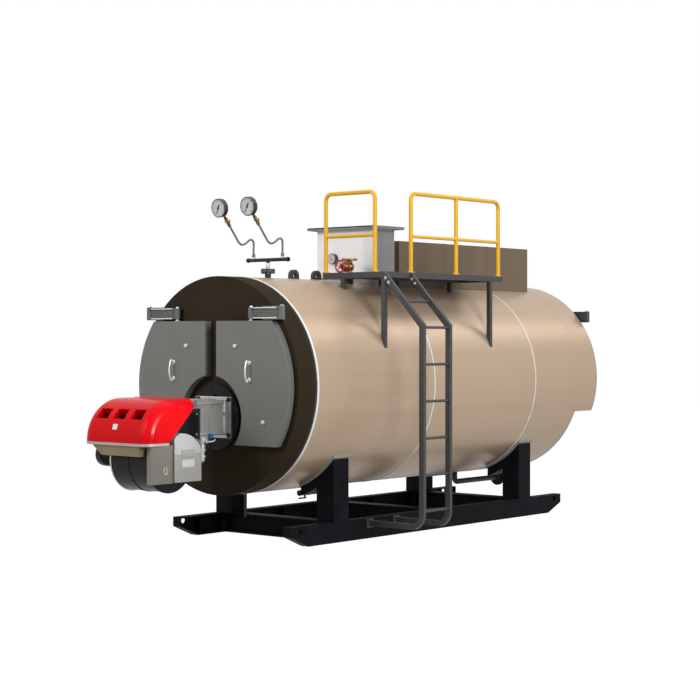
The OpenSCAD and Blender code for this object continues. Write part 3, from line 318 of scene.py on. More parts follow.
def soften_edges() -> None:
    """Rounds the sharp edges of the boxy construction nodes a little."""
    for width, names in SOFT_EDGES.items():
        for name in names.split():
            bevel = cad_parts[name].modifiers.new("soft_edges", "BEVEL")
            bevel.width = width
            bevel.segments = 2
            bevel.limit_method = "ANGLE"
            bevel.angle_limit = SOFT_ANGLE
            bevel.harden_normals = False
            LOG.info("softened edges of %s", name)


def dress_nodes() -> None:
    """Gives every construction node its finish."""
    for finish, names in NODE_FINISH.items():
        for name in names.split():
            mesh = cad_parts[name].data
            mesh.materials.clear()
            mesh.materials.append(finish.material())
            LOG.info("dressed %s with %s", name, finish.name)


class Axis(Enum):
    """The axis that a flat outline is drawn out along."""

    X = "x"
    Y = "y"
    Z = "z"

    def point(self, level: float, u: float, v: float) -> Point:
        """Places an outline's corner.

        Args:
            level: place on this axis.
            u: place on the first other axis.
            v: place on the second other axis.

        Returns:
            The point in the row's frame.
        """
        if self is Axis.X:
            return (level, u, v)
        if self is Axis.Y:
            return (u, level, v)
        return (u, v, level)


class Side(Enum):
    """Left or right of the boiler, seen from its front."""

    LEFT = -1.0
    RIGHT = 1.0

    @property
    def word(self) -> str:
        """The side's name in lower case."""
        return self.name.lower()

    @property
    def out(self) -> Point:
        """The direction away from the middle on this side."""
        return (self.value, 0.0, 0.0)


class Sketch:
    """Collects simple forms, in metres and in the row's frame, into one mesh."""

    def __init__(self) -> None:
        self.mesh = bmesh.new()

    def _take(self, form: bmesh.types.BMesh, bevel: float, place: Optional[Matrix] = None) -> "Sketch":
        """Rounds a form's edges, moves it and adds it to the mesh.

        Args:
            form: the new form, which is used up.
            bevel: radius of its rounded edges, 0 for sharp ones.
            place: where it goes, or None if it is in place.

        Returns:
            This sketch.
        """
        if bevel > 0.0:
            round_edges(form, bevel, EDGE_ANGLE)
        if place is not None:
            bmesh.ops.transform(form, matrix=place, verts=form.verts)
        bmesh.ops.recalc_face_normals(form, faces=form.faces)
        held = bpy.data.meshes.new("form")
        form.to_mesh(held)
        form.free()
        self.mesh.from_mesh(held)
        bpy.data.meshes.remove(held)
        return self

    def box(self, low: Point, high: Point, bevel: float = 0.003) -> "Sketch":
        """Adds a box between two corners.

        Args:
            low: lowest corner.
            high: highest corner.
            bevel: radius of the edges.

        Returns:
            This sketch.
        """
        form = bmesh.new()
        bmesh.ops.create_cube(form, size=1.0)
        size = Vector(high) - Vector(low)
        middle = (Vector(high) + Vector(low)) / 2.0
        bmesh.ops.scale(form, vec=size, verts=form.verts)
        return self._take(form, bevel, Matrix.Translation(middle))

    def rod(self, start: Point, end: Point, radius: float, bevel: float = 0.0, sides: int = 32,
            tip: Optional[float] = None) -> "Sketch":
        """Adds a round rod, a cone or a many-sided bar between two points.

        Args:
            start: middle of the first end.
            end: middle of the other end.
            radius: radius at the first end.
            bevel: radius of the edges.
            sides: number of sides, 6 for a nut.
            tip: radius at the other end, or None for the same.

        Returns:
            This sketch.
        """
        along = Vector(end) - Vector(start)
        form = bmesh.new()
        bmesh.ops.create_cone(form, cap_ends=True, segments=sides, radius1=radius,
                              radius2=radius if tip is None else tip, depth=along.length)
        if bevel > 0.0 and sides > 12:
            round_edges(form, bevel, RIM_ANGLE)
            bevel = 0.0
        return self._take(form, bevel, upright(along, (Vector(start) + Vector(end)) / 2.0))

    def lathe(self, base: Point, axis: Point, profile: Sequence[tuple[float, float]],
              sides: int = 48) -> "Sketch":
        """Adds a turned form.

        Args:
            base: point on the axis where the profile's heights start.
            axis: direction of the axis.
            profile: radius and height of each ring, from one end to the other.
            sides: number of sides.

        Returns:
            This sketch.
        """
        form = bmesh.new()
        rings = []
        for radius, height in profile:
            ring = []
            for i in range(sides):
                turn = 2.0 * math.pi * i / sides
                ring.append(form.verts.new((radius * math.cos(turn), radius * math.sin(turn), height)))
            rings.append(ring)
        for lower, upper in zip(rings, rings[1:]):
            for i in range(sides):
                j = (i + 1) % sides
                form.faces.new((lower[i], lower[j], upper[j], upper[i]))
        form.faces.new(list(reversed(rings[0])))
        form.faces.new(rings[-1])
        return self._take(form, 0.0, upright(Vector(axis), Vector(base)))

    def tube(self, path: Sequence[Point], radius: float, sides: int = 14,
             closed: bool = False) -> "Sketch":
        """Adds a round tube swept along a path.

        Args:
            path: points of the tube's middle line.
            radius: radius of the tube.
            sides: number of sides.
            closed: whether the end joins the start.

        Returns:
            This sketch.
        """
        form = bmesh.new()
        points = [Vector(p) for p in path]
        count = len(points)
        side = None
        rings = []
        for i, point in enumerate(points):
            before = points[i - 1] if i or closed else point
            after = points[(i + 1) % count] if i + 1 < count or closed else point
            along = (after - before).normalized()
            if side is None:
                spare = Vector(UP) if abs(along.z) < 0.9 else Vector(TO_RIGHT)
                side = along.cross(spare).normalized()
            side = (side - along * side.dot(along)).normalized()
            other = along.cross(side)
            ring = []
            for k in range(sides):
                turn = 2.0 * math.pi * k / sides
                spoke = side * math.cos(turn) + other * math.sin(turn)
                ring.append(form.verts.new(point + radius * spoke))
            rings.append(ring)
        pairs = list(zip(rings, rings[1:]))
        if closed:
            pairs.append((rings[-1], rings[0]))
        for one, two in pairs:
            for k in range(sides):
                m = (k + 1) % sides
                form.faces.new((one[k], one[m], two[m], two[k]))
        if not closed:
            form.faces.new(list(reversed(rings[0])))
            form.faces.new(rings[-1])
        return self._take(form, 0.0)

    def slab(self, outline: Sequence[tuple[float, float]], axis: Axis, low: float, high: float,
             bevel: float = 0.002) -> "Sketch":
        """Adds a flat outline drawn out along one axis.

        Args:
            outline: corners in the two other axes, in order.
            axis: the axis it is drawn out along.
            low: where it starts on that axis.
            high: where it ends on that axis.
            bevel: radius of the edges.

        Returns:
            This sketch.
        """
        form = bmesh.new()
        rows = []
        for level in (low, high):
            rows.append([form.verts.new(axis.point(level, u, v)) for u, v in outline])
        count = len(outline)
        form.faces.new(list(reversed(rows[0])))
        form.faces.new(rows[1])
        for i in range(count):
            j = (i + 1) % count
            form.faces.new((rows[0][i], rows[0][j], rows[1][j], rows[1][i]))
        bmesh.ops.recalc_face_normals(form, faces=form.faces)
        return self._take(form, bevel)

    def place(self, name: str, finish: Finish, body: str = BODY_ROOT,
              stands_for: Sequence[str] = ()) -> None:
        """Makes the sketch a piece of the object.

        Args:
            name: the piece's name.
            finish: its finish.
            body: the body it moves with.
            stands_for: construction nodes it is shown in place of.
        """
        mesh = bpy.data.meshes.new(name)
        self.mesh.to_mesh(mesh)
        self.mesh.free()
        put(name, mesh, finish, body, stands_for)


def round_edges(form: bmesh.types.BMesh, radius: float, limit: float) -> None:
    """Rounds the edges of a form that turn by more than an angle.

    Args:
        form: the form.
        radius: radius of the rounded edges.
        limit: the angle, in radians.
    """
    sharp = [e for e in form.edges if e.is_manifold and e.calc_face_angle(0.0) > limit]
    bmesh.ops.bevel(form, geom=sharp, offset=radius, segments=2, affect="EDGES", profile=EDGE_PROFILE)


def upright(along: Vector, middle: Vector) -> Matrix:
    """Gives the move that stands a form's z axis along a direction.

    Args:
        along: the direction.
        middle: where the form's origin goes.

    Returns:
        The move as a matrix.
    """
    return Matrix.Translation(middle) @ along.to_track_quat("Z", "Y").to_matrix().to_4x4()


def put(name: str, mesh: bpy.types.Mesh, finish: Finish, body: str,
        stands_for: Sequence[str] = ()) -> None:
    """Adds a mesh to the scene as a piece of the object.

    Args:
        name: the piece's name.
        mesh: its mesh, in place in the row's frame.
        finish: its finish.
        body: the body it moves with.
        stands_for: construction nodes it is shown in place of.
    """
    mesh.materials.clear()
    mesh.materials.append(finish.material())
    mesh.set_sharp_from_angle(angle=SMOOTH_ANGLE)
    for face in mesh.polygons:
        face.use_smooth = True
    piece = bpy.data.objects.new(name, mesh)
    bpy.context.scene.collection.objects.link(piece)
    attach(piece, body)
    if stands_for:
        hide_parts(*stands_for)
    LOG.info("placed %s", name)


def arc(centre: tuple[float, float], radius: float, start: float, end: float,
        steps: int) -> list[tuple[float, float]]:
    """Gives points along a flat arc.

    Args:
        centre: the arc's centre.
        radius: the arc's radius.
        start: its first angle, in degrees.
        end: its last angle, in degrees.
        steps: number of steps.

    Returns:
        The points, both ends included.
    """
    turns = [math.radians(start + (end - start) * i / steps) for i in range(steps + 1)]
    return [(centre[0] + radius * math.cos(t), centre[1] + radius * math.sin(t)) for t in turns]


def smooth(points: Sequence[Point], steps: int = 8) -> list[Point]:
    """Rounds a path so that it runs in a soft curve through its points.

    Args:
        points: the path's points.
        steps: number of steps between two points.

    Returns:
        The finer path.
    """
    knots = [Vector(p) for p in points]
    knots = [knots[0] * 2 - knots[1]] + knots + [knots[-1] * 2 - knots[-2]]
    path = []
    for a, b, c, d in zip(knots, knots[1:], knots[2:], knots[3:]):
        for i in range(steps):
            t = i / steps
            path.append(tuple(0.5 * (2 * b + (c - a) * t + (2 * a - 5 * b + 4 * c - d) * t * t
                                     + (3 * b - a - 3 * c + d) * t * t * t)))
    path.append(tuple(knots[-2]))
    return path


class Motif(Enum):
    """Small forms that repeat many times."""

    HEX_BOLT = "hex_bolt"
    RIVET = "rivet"
    TUBE_END = "tube_end"
    LOZENGE = "lozenge"
    BAR = "bar"


@dataclass(frozen=True)
class Repeat:
    """A small form set on many points with a node tree."""

    motif: Motif
    radius: float
    height: float
    length: float = 0.0

    def place(self, name: str, spots: Sequence[Spot], finish: Finish, body: str = BODY_ROOT) -> None:
        """Sets the form on the spots and adds them as one piece.

        Args:
            name: the piece's name.
            spots: point, outward direction and turn of each copy.
            finish: the finish of all copies.
            body: the body they move with.
        """
        seeds = bpy.data.meshes.new(name + "_seeds")
        seeds.from_pydata([spot[0] for spot in spots], [], [])
        seeds.attributes.new("facing", "FLOAT_VECTOR", "POINT")
        seeds.attributes.new("spin", "FLOAT", "POINT")
        facing = seeds.attributes["facing"]
        spin = seeds.attributes["spin"]
        for i, spot in enumerate(spots):
            facing.data[i].vector = spot[1]
            spin.data[i].value = spot[2]
        holder = bpy.data.objects.new(name + "_seeds", seeds)
        bpy.context.scene.collection.objects.link(holder)
        tree = self._tree(name, finish)
        modifier = holder.modifiers.new("repeat", "NODES")
        modifier.node_group = tree
        wanted = {"Radius": self.radius, "Height": self.height, "Length": self.length}
        for item in tree.interface.items_tree:
            if item.item_type == "SOCKET" and item.name in wanted:
                modifier[item.identifier] = wanted[item.name]
        ready = holder.evaluated_get(bpy.context.evaluated_depsgraph_get())
        mesh = bpy.data.meshes.new_from_object(ready)
        mesh.name = name
        bpy.data.objects.remove(holder)
        bpy.data.node_groups.remove(tree)
        put(name, mesh, finish, body)

    def _tree(self, name: str, finish: Finish) -> bpy.types.NodeTree:
        """Builds the node tree that copies the form onto the points.

        Args:
            name: the tree's name.
            finish: the finish set on the copies.

        Returns:
            The tree.
        """
        tree = bpy.data.node_groups.new(name, "GeometryNodeTree")
        face = tree.interface
        face.new_socket("Geometry", in_out="INPUT", socket_type="NodeSocketGeometry")
        for label in ("Radius", "Height", "Length"):
            face.new_socket(label, in_out="INPUT", socket_type="NodeSocketFloat")
        face.new_socket("Geometry", in_out="OUTPUT", socket_type="NodeSocketGeometry")
        begin = add_node(tree, "NodeGroupInput")
        facing = self._attribute(tree, "facing", "FLOAT_VECTOR")
        spin = self._attribute(tree, "spin", "FLOAT")
        align = add_node(tree, "FunctionNodeAlignRotationToVector", {"Vector": facing}, axis="Z")
        turn = add_node(tree, "FunctionNodeAxisAngleToRotation", {"Axis": UP, "Angle": spin})
        rotate = add_node(tree, "FunctionNodeRotateRotation",
                          {"Rotation": align.outputs[0], "Rotate By": turn.outputs[0]},
                          rotation_space="LOCAL")
        scatter = add_node(tree, "GeometryNodeInstanceOnPoints",
                           {"Points": begin.outputs["Geometry"], "Instance": self._form(tree, begin),
                            "Rotation": rotate.outputs[0]})
        realize = add_node(tree, "GeometryNodeRealizeInstances", {0: scatter.outputs[0]})
        paint = add_node(tree, "GeometryNodeSetMaterial",
                         {0: realize.outputs[0], "Material": finish.material()})
        add_node(tree, "NodeGroupOutput", {"Geometry": paint.outputs[0]})
        return tree

    def _attribute(self, tree: bpy.types.NodeTree, name: str, kind: str) -> bpy.types.NodeSocket:
        """Reads a value stored on the points.

        Args:
            tree: the node tree.
            name: the value's name.
            kind: its data type.

        Returns:
            The value's socket.
        """
        node = add_node(tree, "GeometryNodeInputNamedAttribute", {"Name": name}, data_type=kind)
        return node.outputs["Attribute"]

    def _form(self, tree: bpy.types.NodeTree, begin: bpy.types.Node) -> bpy.types.NodeSocket:
        """Builds the form that is copied.

        Args:
            tree: the node tree.
            begin: the tree's input node.

        Returns:
            The form's geometry socket.
        """
        if self.motif is Motif.HEX_BOLT:
            head = self._prism(tree, begin, 6, 1.0, 1.0, 0.5)
            washer = self._prism(tree, begin, 20, 1.45, 0.25, 0.12)
            join = add_node(tree, "GeometryNodeJoinGeometry", {0: head})
            fill(tree, join, {0: washer})
            return join.outputs[0]
        if self.motif is Motif.RIVET:
            ball = add_node(tree, "GeometryNodeMeshUVSphere",
                            {"Segments": 12, "Rings": 6, "Radius": begin.outputs["Radius"]})
            flat = (1.0, 1.0, self.height / self.radius)
            return add_node(tree, "GeometryNodeTransform", {0: ball.outputs[0], "Scale": flat}).outputs[0]
        if self.motif is Motif.TUBE_END:
            ring, lip = (add_node(tree, "GeometryNodeCurvePrimitiveCircle",
                                  {"Resolution": steps, "Radius": begin.outputs[label]})
                         for steps, label in ((24, "Radius"), (6, "Height")))
            sweep = add_node(tree, "GeometryNodeCurveToMesh",
                             {"Curve": ring.outputs[0], "Profile Curve": lip.outputs[0]})
            return sweep.outputs[0]
        if self.motif is Motif.LOZENGE:
            form = self._prism(tree, begin, 8, 1.0, 1.0, 0.3)
            long = (1.0, self.length / self.radius, 1.0)
            return add_node(tree, "GeometryNodeTransform", {0: form, "Scale": long}).outputs[0]
        size = add_node(tree, "ShaderNodeCombineXYZ",
                        {"X": begin.outputs["Radius"], "Y": begin.outputs["Length"],
                         "Z": begin.outputs["Height"]})
        return add_node(tree, "GeometryNodeMeshCube", {"Size": size.outputs[0]}).outputs[0]

    def _prism(self, tree: bpy.types.NodeTree, begin: bpy.types.Node, sides: int, wide: float, tall: float,
               rise: float) -> bpy.types.NodeSocket:
        """Builds a many-sided disc.

        Args:
            tree: the node tree.
            begin: the tree's input node.
            sides: number of sides.
            wide: radius as a share of the form's radius.
            tall: height as a share of the form's height.
            rise: place of its middle as a share of the form's height.

        Returns:
            The disc's geometry socket.
        """
        radius, depth = (add_node(tree, "ShaderNodeMath", {0: begin.outputs[label], 1: share},
                                  operation="MULTIPLY").outputs[0]
                         for label, share in (("Radius", wide), ("Height", tall)))
        disc = add_node(tree, "GeometryNodeMeshCylinder",
                        {"Vertices": sides, "Radius": radius, "Depth": depth})
        lift = (0.0, 0.0, rise * self.height)
        return add_node(tree, "GeometryNodeTransform", {0: disc.outputs[0], "Translation": lift}).outputs[0]


def ring_spots(centre: Point, axis: Point, radius: float, count: int, start: float = 0.0) -> list[Spot]:
    """Gives spots round a circle that all face along its axis.

    Args:
        centre: the circle's centre.
        axis: the direction the copies face.
        radius: the circle's radius.
        count: number of spots.
        start: angle of the first one, in degrees.

    Returns:
        The spots.
    """
    move = upright(Vector(axis), Vector(centre))
    spots = []
    for i in range(count):
        turn = math.radians(start) + 2.0 * math.pi * i / count
        point = move @ Vector((radius * math.cos(turn), radius * math.sin(turn), 0.0))
        spots.append((tuple(point), axis, turn))
    return spots


@dataclass
class DoorLeaf:
    """What shows on one front door and its davit arm."""

    side: Side
    bow: float = 0.024
    bar_r: float = 0.0085
    handle_x: float = 0.504
    foot_profile: Profile = ((0.021, -0.002), (0.021, 0.003), (0.016, 0.007), (0.010, 0.008))
    knob_profile: Profile = ((0.019, -0.002), (0.019, 0.005), (0.010, 0.007), (0.010, 0.013),
                             (0.016, 0.016), (0.017, 0.021), (0.013, 0.025), (0.004, 0.026))
    knobs: tuple[tuple[float, float], ...] = ((0.326, 1.903), (0.680, 1.194))
    pin_outer: float = 0.88
    pin_inner: float = 0.492
    cutout_r: float = 0.400
    burner_z: float = 1.224
    handle_z: tuple[float, float] = (1.566, 1.764)
    door_x: tuple[float, float] = (0.072, 0.995)
    door_z: tuple[float, float] = (0.969, 2.140)
    axis_z: float = 1.52
    plug_in: float = 0.069
    lining_in: float = 0.012
    lining_t: float = 0.004

    def build(self) -> None:
        """Adds the fittings, the lining and the arm's ribs and pins."""
        self._fittings()
        self._lining()
        self._arm()
        self._bracket()

    def _name(self, part: str) -> str:
        """Names one of this side's nodes or pieces."""
        return f"{self.side.word}_{part}"

    def _x(self, value: float) -> float:
        """Puts a distance from the middle on this door's side."""
        return value * self.side.value

    def _span(self, one: float, two: float) -> tuple[float, float]:
        """Puts two distances from the middle on this side, lower first."""
        ends = sorted((self._x(one), self._x(two)))
        return ends[0], ends[1]

    def _fittings(self) -> None:
        """Bow handle, two knobs and the hanging pin."""
        name = self._name("door")
        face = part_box(name)[0][1]
        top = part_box(name)[1][2]
        low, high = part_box(name + "_fittings")
        x = self._x(self.handle_x)
        reach = low[1] + self.bar_r
        z0, z1 = self.handle_z
        middle = (z0 + z1) / 2.0
        path = [(x, face + 0.004, z0 + 0.020), (x, face - 0.022, z0 + 0.016), (x, reach + self.bow, z0),
                (x, reach + 0.006, middle - 0.05), (x, reach, middle), (x, reach + 0.006, middle + 0.05),
                (x, reach + self.bow, z1), (x, face - 0.022, z1 - 0.016), (x, face + 0.004, z1 - 0.020)]
        kit = Sketch().tube(smooth(path), self.bar_r)
        for z in (z0 + 0.020, z1 - 0.020):
            kit.lathe((x, face, z), TO_FRONT, self.foot_profile, 28)
        for knob_x, knob_z in self.knobs:
            kit.lathe((self._x(knob_x), face, knob_z), TO_FRONT, self.knob_profile, 32)
        pin_x = self._x(self.pin_inner)
        arm_low, arm_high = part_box(self._name("davit"))
        pin_y = (arm_low[1] + arm_high[1]) / 2.0
        kit.rod((pin_x, pin_y, top - 0.002), (pin_x, pin_y, high[2]), 0.0138, 0.003)
        kit.rod((pin_x, pin_y, top), (pin_x, pin_y, top + 0.008), 0.026, 0.002, 6)
        kit.place(self._name("handle_and_knobs"), CHROME, self._name("door"),
                  (self._name("door_fittings"),))

    def _lining(self) -> None:
        """Pale lining cast on the plug, with its anchor studs."""
        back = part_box(self._name("door"))[1][1]
        inner = self.door_x[0] + self.plug_in + self.lining_in
        outer = self.door_x[1] - self.plug_in - self.lining_in
        bottom = self.door_z[0] + self.plug_in + self.lining_in
        top = self.door_z[1] - self.plug_in - self.lining_in
        keep = self.cutout_r + self.plug_in + self.lining_in
        start, end = (math.degrees(math.asin((level - self.axis_z) / outer)) for level in (bottom, top))
        outline = arc((0.0, self.axis_z), outer, start, end, 24)
        outline.append((inner, top))
        rise = math.degrees(math.acos(inner / keep))
        drop = math.degrees(math.asin((bottom - self.burner_z) / keep))
        outline += arc((0.0, self.burner_z), keep, rise, drop, 20)
        outline = [(self._x(u), v) for u, v in outline]
        Sketch().slab(outline, Axis.Y, back - self.lining_t, back, 0.0).place(
            self._name("door_lining"), LINING_PALE, self._name("door"))
        spots = []
        for row in range(5):
            for column in range(4):
                u = 0.36 + 0.13 * column
                v = 1.16 + 0.19 * row
                clear_of_burner = math.hypot(u, v - self.burner_z) > keep + 0.04
                if clear_of_burner and math.hypot(u, v - self.axis_z) < outer - 0.04:
                    spots.append(((self._x(u), back - 0.003, v), TO_REAR, 0.0))
        Repeat(Motif.RIVET, 0.009, 0.003).place(self._name("lining_studs"), spots, TUBE_SOOT,
                                                self._name("door"))

    def _arm(self) -> None:
        """Ribs along the arm's web, chrome strips of painted highlight along its edges, and its outer pin.
        """
        body = self._name("davit")
        low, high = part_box(body)
        middle = (low[1] + high[1]) / 2.0
        kit = Sketch()
        x0, x1 = self._span(self.pin_inner + 0.046, self.pin_outer - 0.046)
        for level in (0.26, 0.42, 0.58, 0.74):
            z = low[2] + level * (high[2] - low[2])
            kit.box((x0, middle - 0.0135, z - 0.004), (x1, middle + 0.0135, z + 0.004), 0.0015)
        kit.place(self._name("arm_ribs"), HINGE_ZINC, body)
        # Painted highlight: bright chrome strips along the top and bottom edges of the dark arm.
        edges = Sketch()
        for z in (low[2] - 0.0005, high[2] - 0.0095):
            edges.box((x0, low[1] - 0.0005, z), (x1, low[1] + 0.010, z + 0.010), 0.0015)
        edges.place(self._name("arm_edge_highlights"), CHROME, body)
        pins = Sketch()
        x = self._x(self.pin_outer)
        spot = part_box("door_brackets")
        pins.rod((x, middle, high[2] - 0.004), (x, middle, spot[1][2]), 0.0135, 0.002)
        pins.rod((x, middle, spot[1][2] - 0.001), (x, middle, spot[1][2] + 0.011), 0.022, 0.003, 6)
        pins.place(self._name("arm_pin"), BOLT_STEEL, BODY_ROOT)

    def _bracket(self) -> None:
        """Bolts that hold the arm's bracket on the front plate."""
        low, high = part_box("door_brackets")
        spots = []
        for z in (low[2] + 0.030, high[2] - 0.030):
            for u in (0.685, 0.730):
                spots.append(((self._x(u), high[1] - 0.013, z), TO_FRONT, 0.3))
        Repeat(Motif.HEX_BOLT, 0.009, 0.007).place(self._name("bracket_bolts"), spots, BOLT_STEEL)


@dataclass
class Burner:
    """Fittings of the burner: vents, lip, head rails, bolts, gas cock, rims, fins and latch."""

    vent_w: float = 0.150
    vent_h: float = 0.086
    vent_pitch: float = 0.222
    vent_z: float = 1.294
    vent_depth: float = 0.262
    liner_in: float = 0.075
    liner_drop: float = 0.055
    slat_count: int = 4
    slat_start: float = 0.195
    sleeve: float = 0.070
    sleeve_t: float = 0.004
    wall_turn: float = 0.3
    edge_r: float = 0.110
    nose_r: float = 0.380
    nose_y: float = -3.421
    nose_z: float = 1.045
    lip_r: float = 0.008
    gas_x: float = 0.176
    feed_drop: float = 0.132
    feed_profile: Profile = ((0.024, 0.0), (0.029, 0.004), (0.029, 0.034), (0.041, 0.036),
                             (0.041, 0.052), (0.027, 0.056), (0.027, 0.090), (0.038, 0.094),
                             (0.038, 0.112), (0.031, 0.116), (0.031, 0.133))
    cock_profile: Profile = ((0.036, 0.0), (0.036, 0.012), (0.028, 0.014), (0.028, 0.028),
                             (0.036, 0.040), (0.060, 0.058), (0.064, 0.078))
    cock_top_r: float = 0.044
    lever_outline: Profile = ((-0.010, -0.008), (0.085, -0.004), (0.115, 0.012), (0.115, 0.024),
                              (0.085, 0.008), (-0.010, 0.008))
    knob_profile: Profile = ((0.018, 0.0), (0.024, 0.006), (0.024, 0.030), (0.018, 0.036), (0.006, 0.037))
    fan_y: float = -3.434
    fan_z: float = 0.869
    fan_r: float = 0.283
    fan_turns: tuple[float, float] = (152.0, 388.0)
    sight_profile: Profile = ((0.036, 0.0), (0.036, 0.007), (0.030, 0.009), (0.027, 0.006),
                              (0.004, 0.006))
    boss_y: float = -2.66
    flange_z: float = 1.224
    flange_ring_r: float = 0.288
    fin_count: int = 40

    def build(self) -> None:
        """Adds all the burner's fittings."""
        self._vents()
        self._lip()
        self._head()
        self._body()
        self._gas()
        self._fan()
        self._motor()
        self._damper()

    def _vents(self) -> None:
        """Red sleeves in the hood's three vents, with slats, and a black wall behind them as painted shade
        inside the hood.
        """
        low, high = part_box("burner_hood")
        back = low[1] + self.vent_depth
        bottom = self.vent_z - self.vent_h / 2.0
        # Painted shade: a black wall across the hood's inside, so that the vents show dark.
        wall = Sketch()
        wall.box((low[0] + self.liner_in, back, low[2] + 0.005),
                 (high[0] - self.liner_in, back + 0.004, high[2] - self.liner_drop), 0.0)
        wall.place("vent_shade_wall", INK_AND_SHADE_BLACK)
        slats = Sketch()
        sleeves = Sketch()
        for i in (-1, 0, 1):
            left = i * self.vent_pitch - self.vent_w / 2.0
            right = left + self.vent_w
            for k in range(self.slat_count):
                z = bottom + (k + 0.5) * self.vent_h / self.slat_count
                y = low[1] + self.slat_start
                slats.slab([(y, z - 0.010), (y + 0.003, z - 0.012), (y + 0.043, z + 0.012),
                            (y + 0.040, z + 0.014)], Axis.X, left, right, 0.0)
            self._sleeve(sleeves, left, right)
        slats.place("vent_slats", BURNER_SATIN)
        sleeves.place("vent_sleeves", HOOD_GLOSS)

    def _sleeve(self, kit: Sketch, left: float, right: float) -> None:
        """Adds the four walls of one vent's sleeve.

        Args:
            kit: the sketch to add to.
            left: where the vent starts.
            right: where the vent ends.
        """
        rises = [self.vent_z + end * self.vent_h / 2.0 - self.nose_z for end in (-1.0, 1.0)]
        turns = [180.0 - math.degrees(math.asin(rise / self.nose_r)) for rise in rises]
        centre = (self.nose_y, self.nose_z)
        outer = self.nose_r - 0.003
        inner = outer - self.sleeve
        wall = arc(centre, outer, turns[0], turns[1], 8) + arc(centre, inner, turns[1], turns[0], 8)
        for end in (left, right - self.sleeve_t):
            kit.slab(wall, Axis.X, end, end + self.sleeve_t, 0.0)
        for turn in turns:
            first = turn - self.wall_turn
            last = turn + self.wall_turn
            wall = arc(centre, outer, first, last, 2) + arc(centre, inner, last, first, 2)
            kit.slab(wall, Axis.X, left, right, 0.0)

    def _lip(self) -> None:
        """A bead along the hood's rear edge and a bare badge on its nose."""
        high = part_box("burner_hood")[1]
        rear = high[1] - 0.006
        half = high[0] - 0.004
        top = high[2] - 0.004
        flank = [(half, -3.521, 1.046), (half, -3.390, 1.174), (half, -3.262, 1.297)]
        roll = []
        for i in range(7):
            turn = math.radians(58.0 - 58.0 * i / 6)
            roll.append((half - self.edge_r * (1.0 - math.sin(turn)), rear,
                         top - self.edge_r * (1.0 - math.cos(turn))))
        near = flank + roll
        far = [(-x, y, z) for x, y, z in reversed(near)]
        Sketch().tube(smooth(near + far, 4), self.lip_r, 12).place("hood_lip", HOOD_GLOSS)
        badge = arc((self.nose_y, self.nose_z), self.nose_r + 0.0015, 155.0, 163.0, 6)
        badge += arc((self.nose_y, self.nose_z), self.nose_r - 0.0010, 163.0, 155.0, 6)
        Sketch().slab(badge, Axis.X, -0.036, 0.024, 0.0).place("hood_badge", PLATE_ALLOY)

    def _head(self) -> None:
        """Flange rails, ribs, boss and bolts of the alloy head."""
        low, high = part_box("burner_head")
        kit = Sketch()
        for z in (high[2] - 0.036, low[2] + 0.008):
            kit.box((low[0] - 0.012, low[1] + 0.004, z), (high[0] + 0.012, high[1] - 0.002, z + 0.028),
                    0.004)
        for y in (low[1] + 0.055, low[1] + 0.165):
            kit.box((low[0] - 0.009, y, low[2] + 0.04), (high[0] + 0.009, y + 0.014, high[2] - 0.04),
                    0.003)
        kit.box((low[0] + 0.06, low[1] + 0.05, high[2] - 0.002),
                (high[0] - 0.07, high[1] - 0.07, high[2] + 0.014), 0.006)
        kit.lathe((0.04, self.boss_y, high[2] + 0.012), UP,
                  ((0.038, 0.0), (0.038, 0.010), (0.028, 0.013), (0.028, 0.018), (0.006, 0.019)), 32)
        kit.rod((high[0] - 0.010, high[1] - 0.034, low[2] + 0.012),
                (high[0] - 0.010, high[1] - 0.034, high[2] - 0.010), 0.026, 0.003)
        kit.rod((high[0], high[1] - 0.040, 1.262), (high[0] + 0.026, high[1] - 0.040, 1.262), 0.020, 0.003)
        kit.place("head_rails", HEAD_ALLOY)
        plug = Sketch()
        for start, end, radius, bevel, sides in ((0.0, 0.014, 0.012, 0.001, 6),
                                                 (0.012, 0.030, 0.007, 0.002, 32)):
            plug.rod((-0.10, self.boss_y, high[2] + start), (-0.10, self.boss_y, high[2] + end), radius,
                     bevel, sides)
        plug.place("head_plug", COCK_BRASS)
        plate_low, plate_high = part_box("burner_mount_plate")
        spots = []
        for x in (plate_low[0] + 0.026, plate_high[0] - 0.026):
            for z in (plate_low[2] + 0.026, plate_high[2] - 0.026):
                spots.append(((x, plate_low[1] - 0.001, z), TO_FRONT, 0.2))
        Repeat(Motif.HEX_BOLT, 0.017, 0.014).place("mount_bolts", spots, PIPE_BLACK)
        spots = ring_spots((0.0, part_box("burner_flange")[0][1] - 0.001, self.flange_z),
                           TO_FRONT, self.flange_ring_r, 12, 15.0)
        Repeat(Motif.HEX_BOLT, 0.010, 0.009).place("flange_bolts", spots, PIPE_BLACK)

    def _body(self) -> None:
        """Side panel, servo box and screws on the dark body."""
        low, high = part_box("burner_body")
        kit = Sketch()
        for side in Side:
            face = side.value * high[0]
            ends = sorted((face - side.value * 0.002, face + side.value * 0.008))
            kit.box((ends[0], low[1] + 0.10, low[2] + 0.03), (ends[1], high[1] - 0.03, high[2] - 0.03),
                    0.004)
        kit.place("body_side_panels", BURNER_SATIN)
        servo = Sketch().box((0.010, -3.185, high[2] - 0.002), (0.205, -2.945, high[2] + 0.078), 0.010)
        servo.rod((0.205, -3.060, high[2] + 0.040), (0.222, -3.060, high[2] + 0.040), 0.022, 0.003)
        servo.place("servo_box", LID_GREY)
        spots = []
        for side in Side:
            for y in (low[1] + 0.12, high[1] - 0.05):
                for z in (low[2] + 0.05, high[2] - 0.05):
                    spots.append(((side.value * (high[0] + 0.007), y, z), side.out, 0.0))
        Repeat(Motif.RIVET, 0.008, 0.003).place("body_screws", spots, BOLT_STEEL)

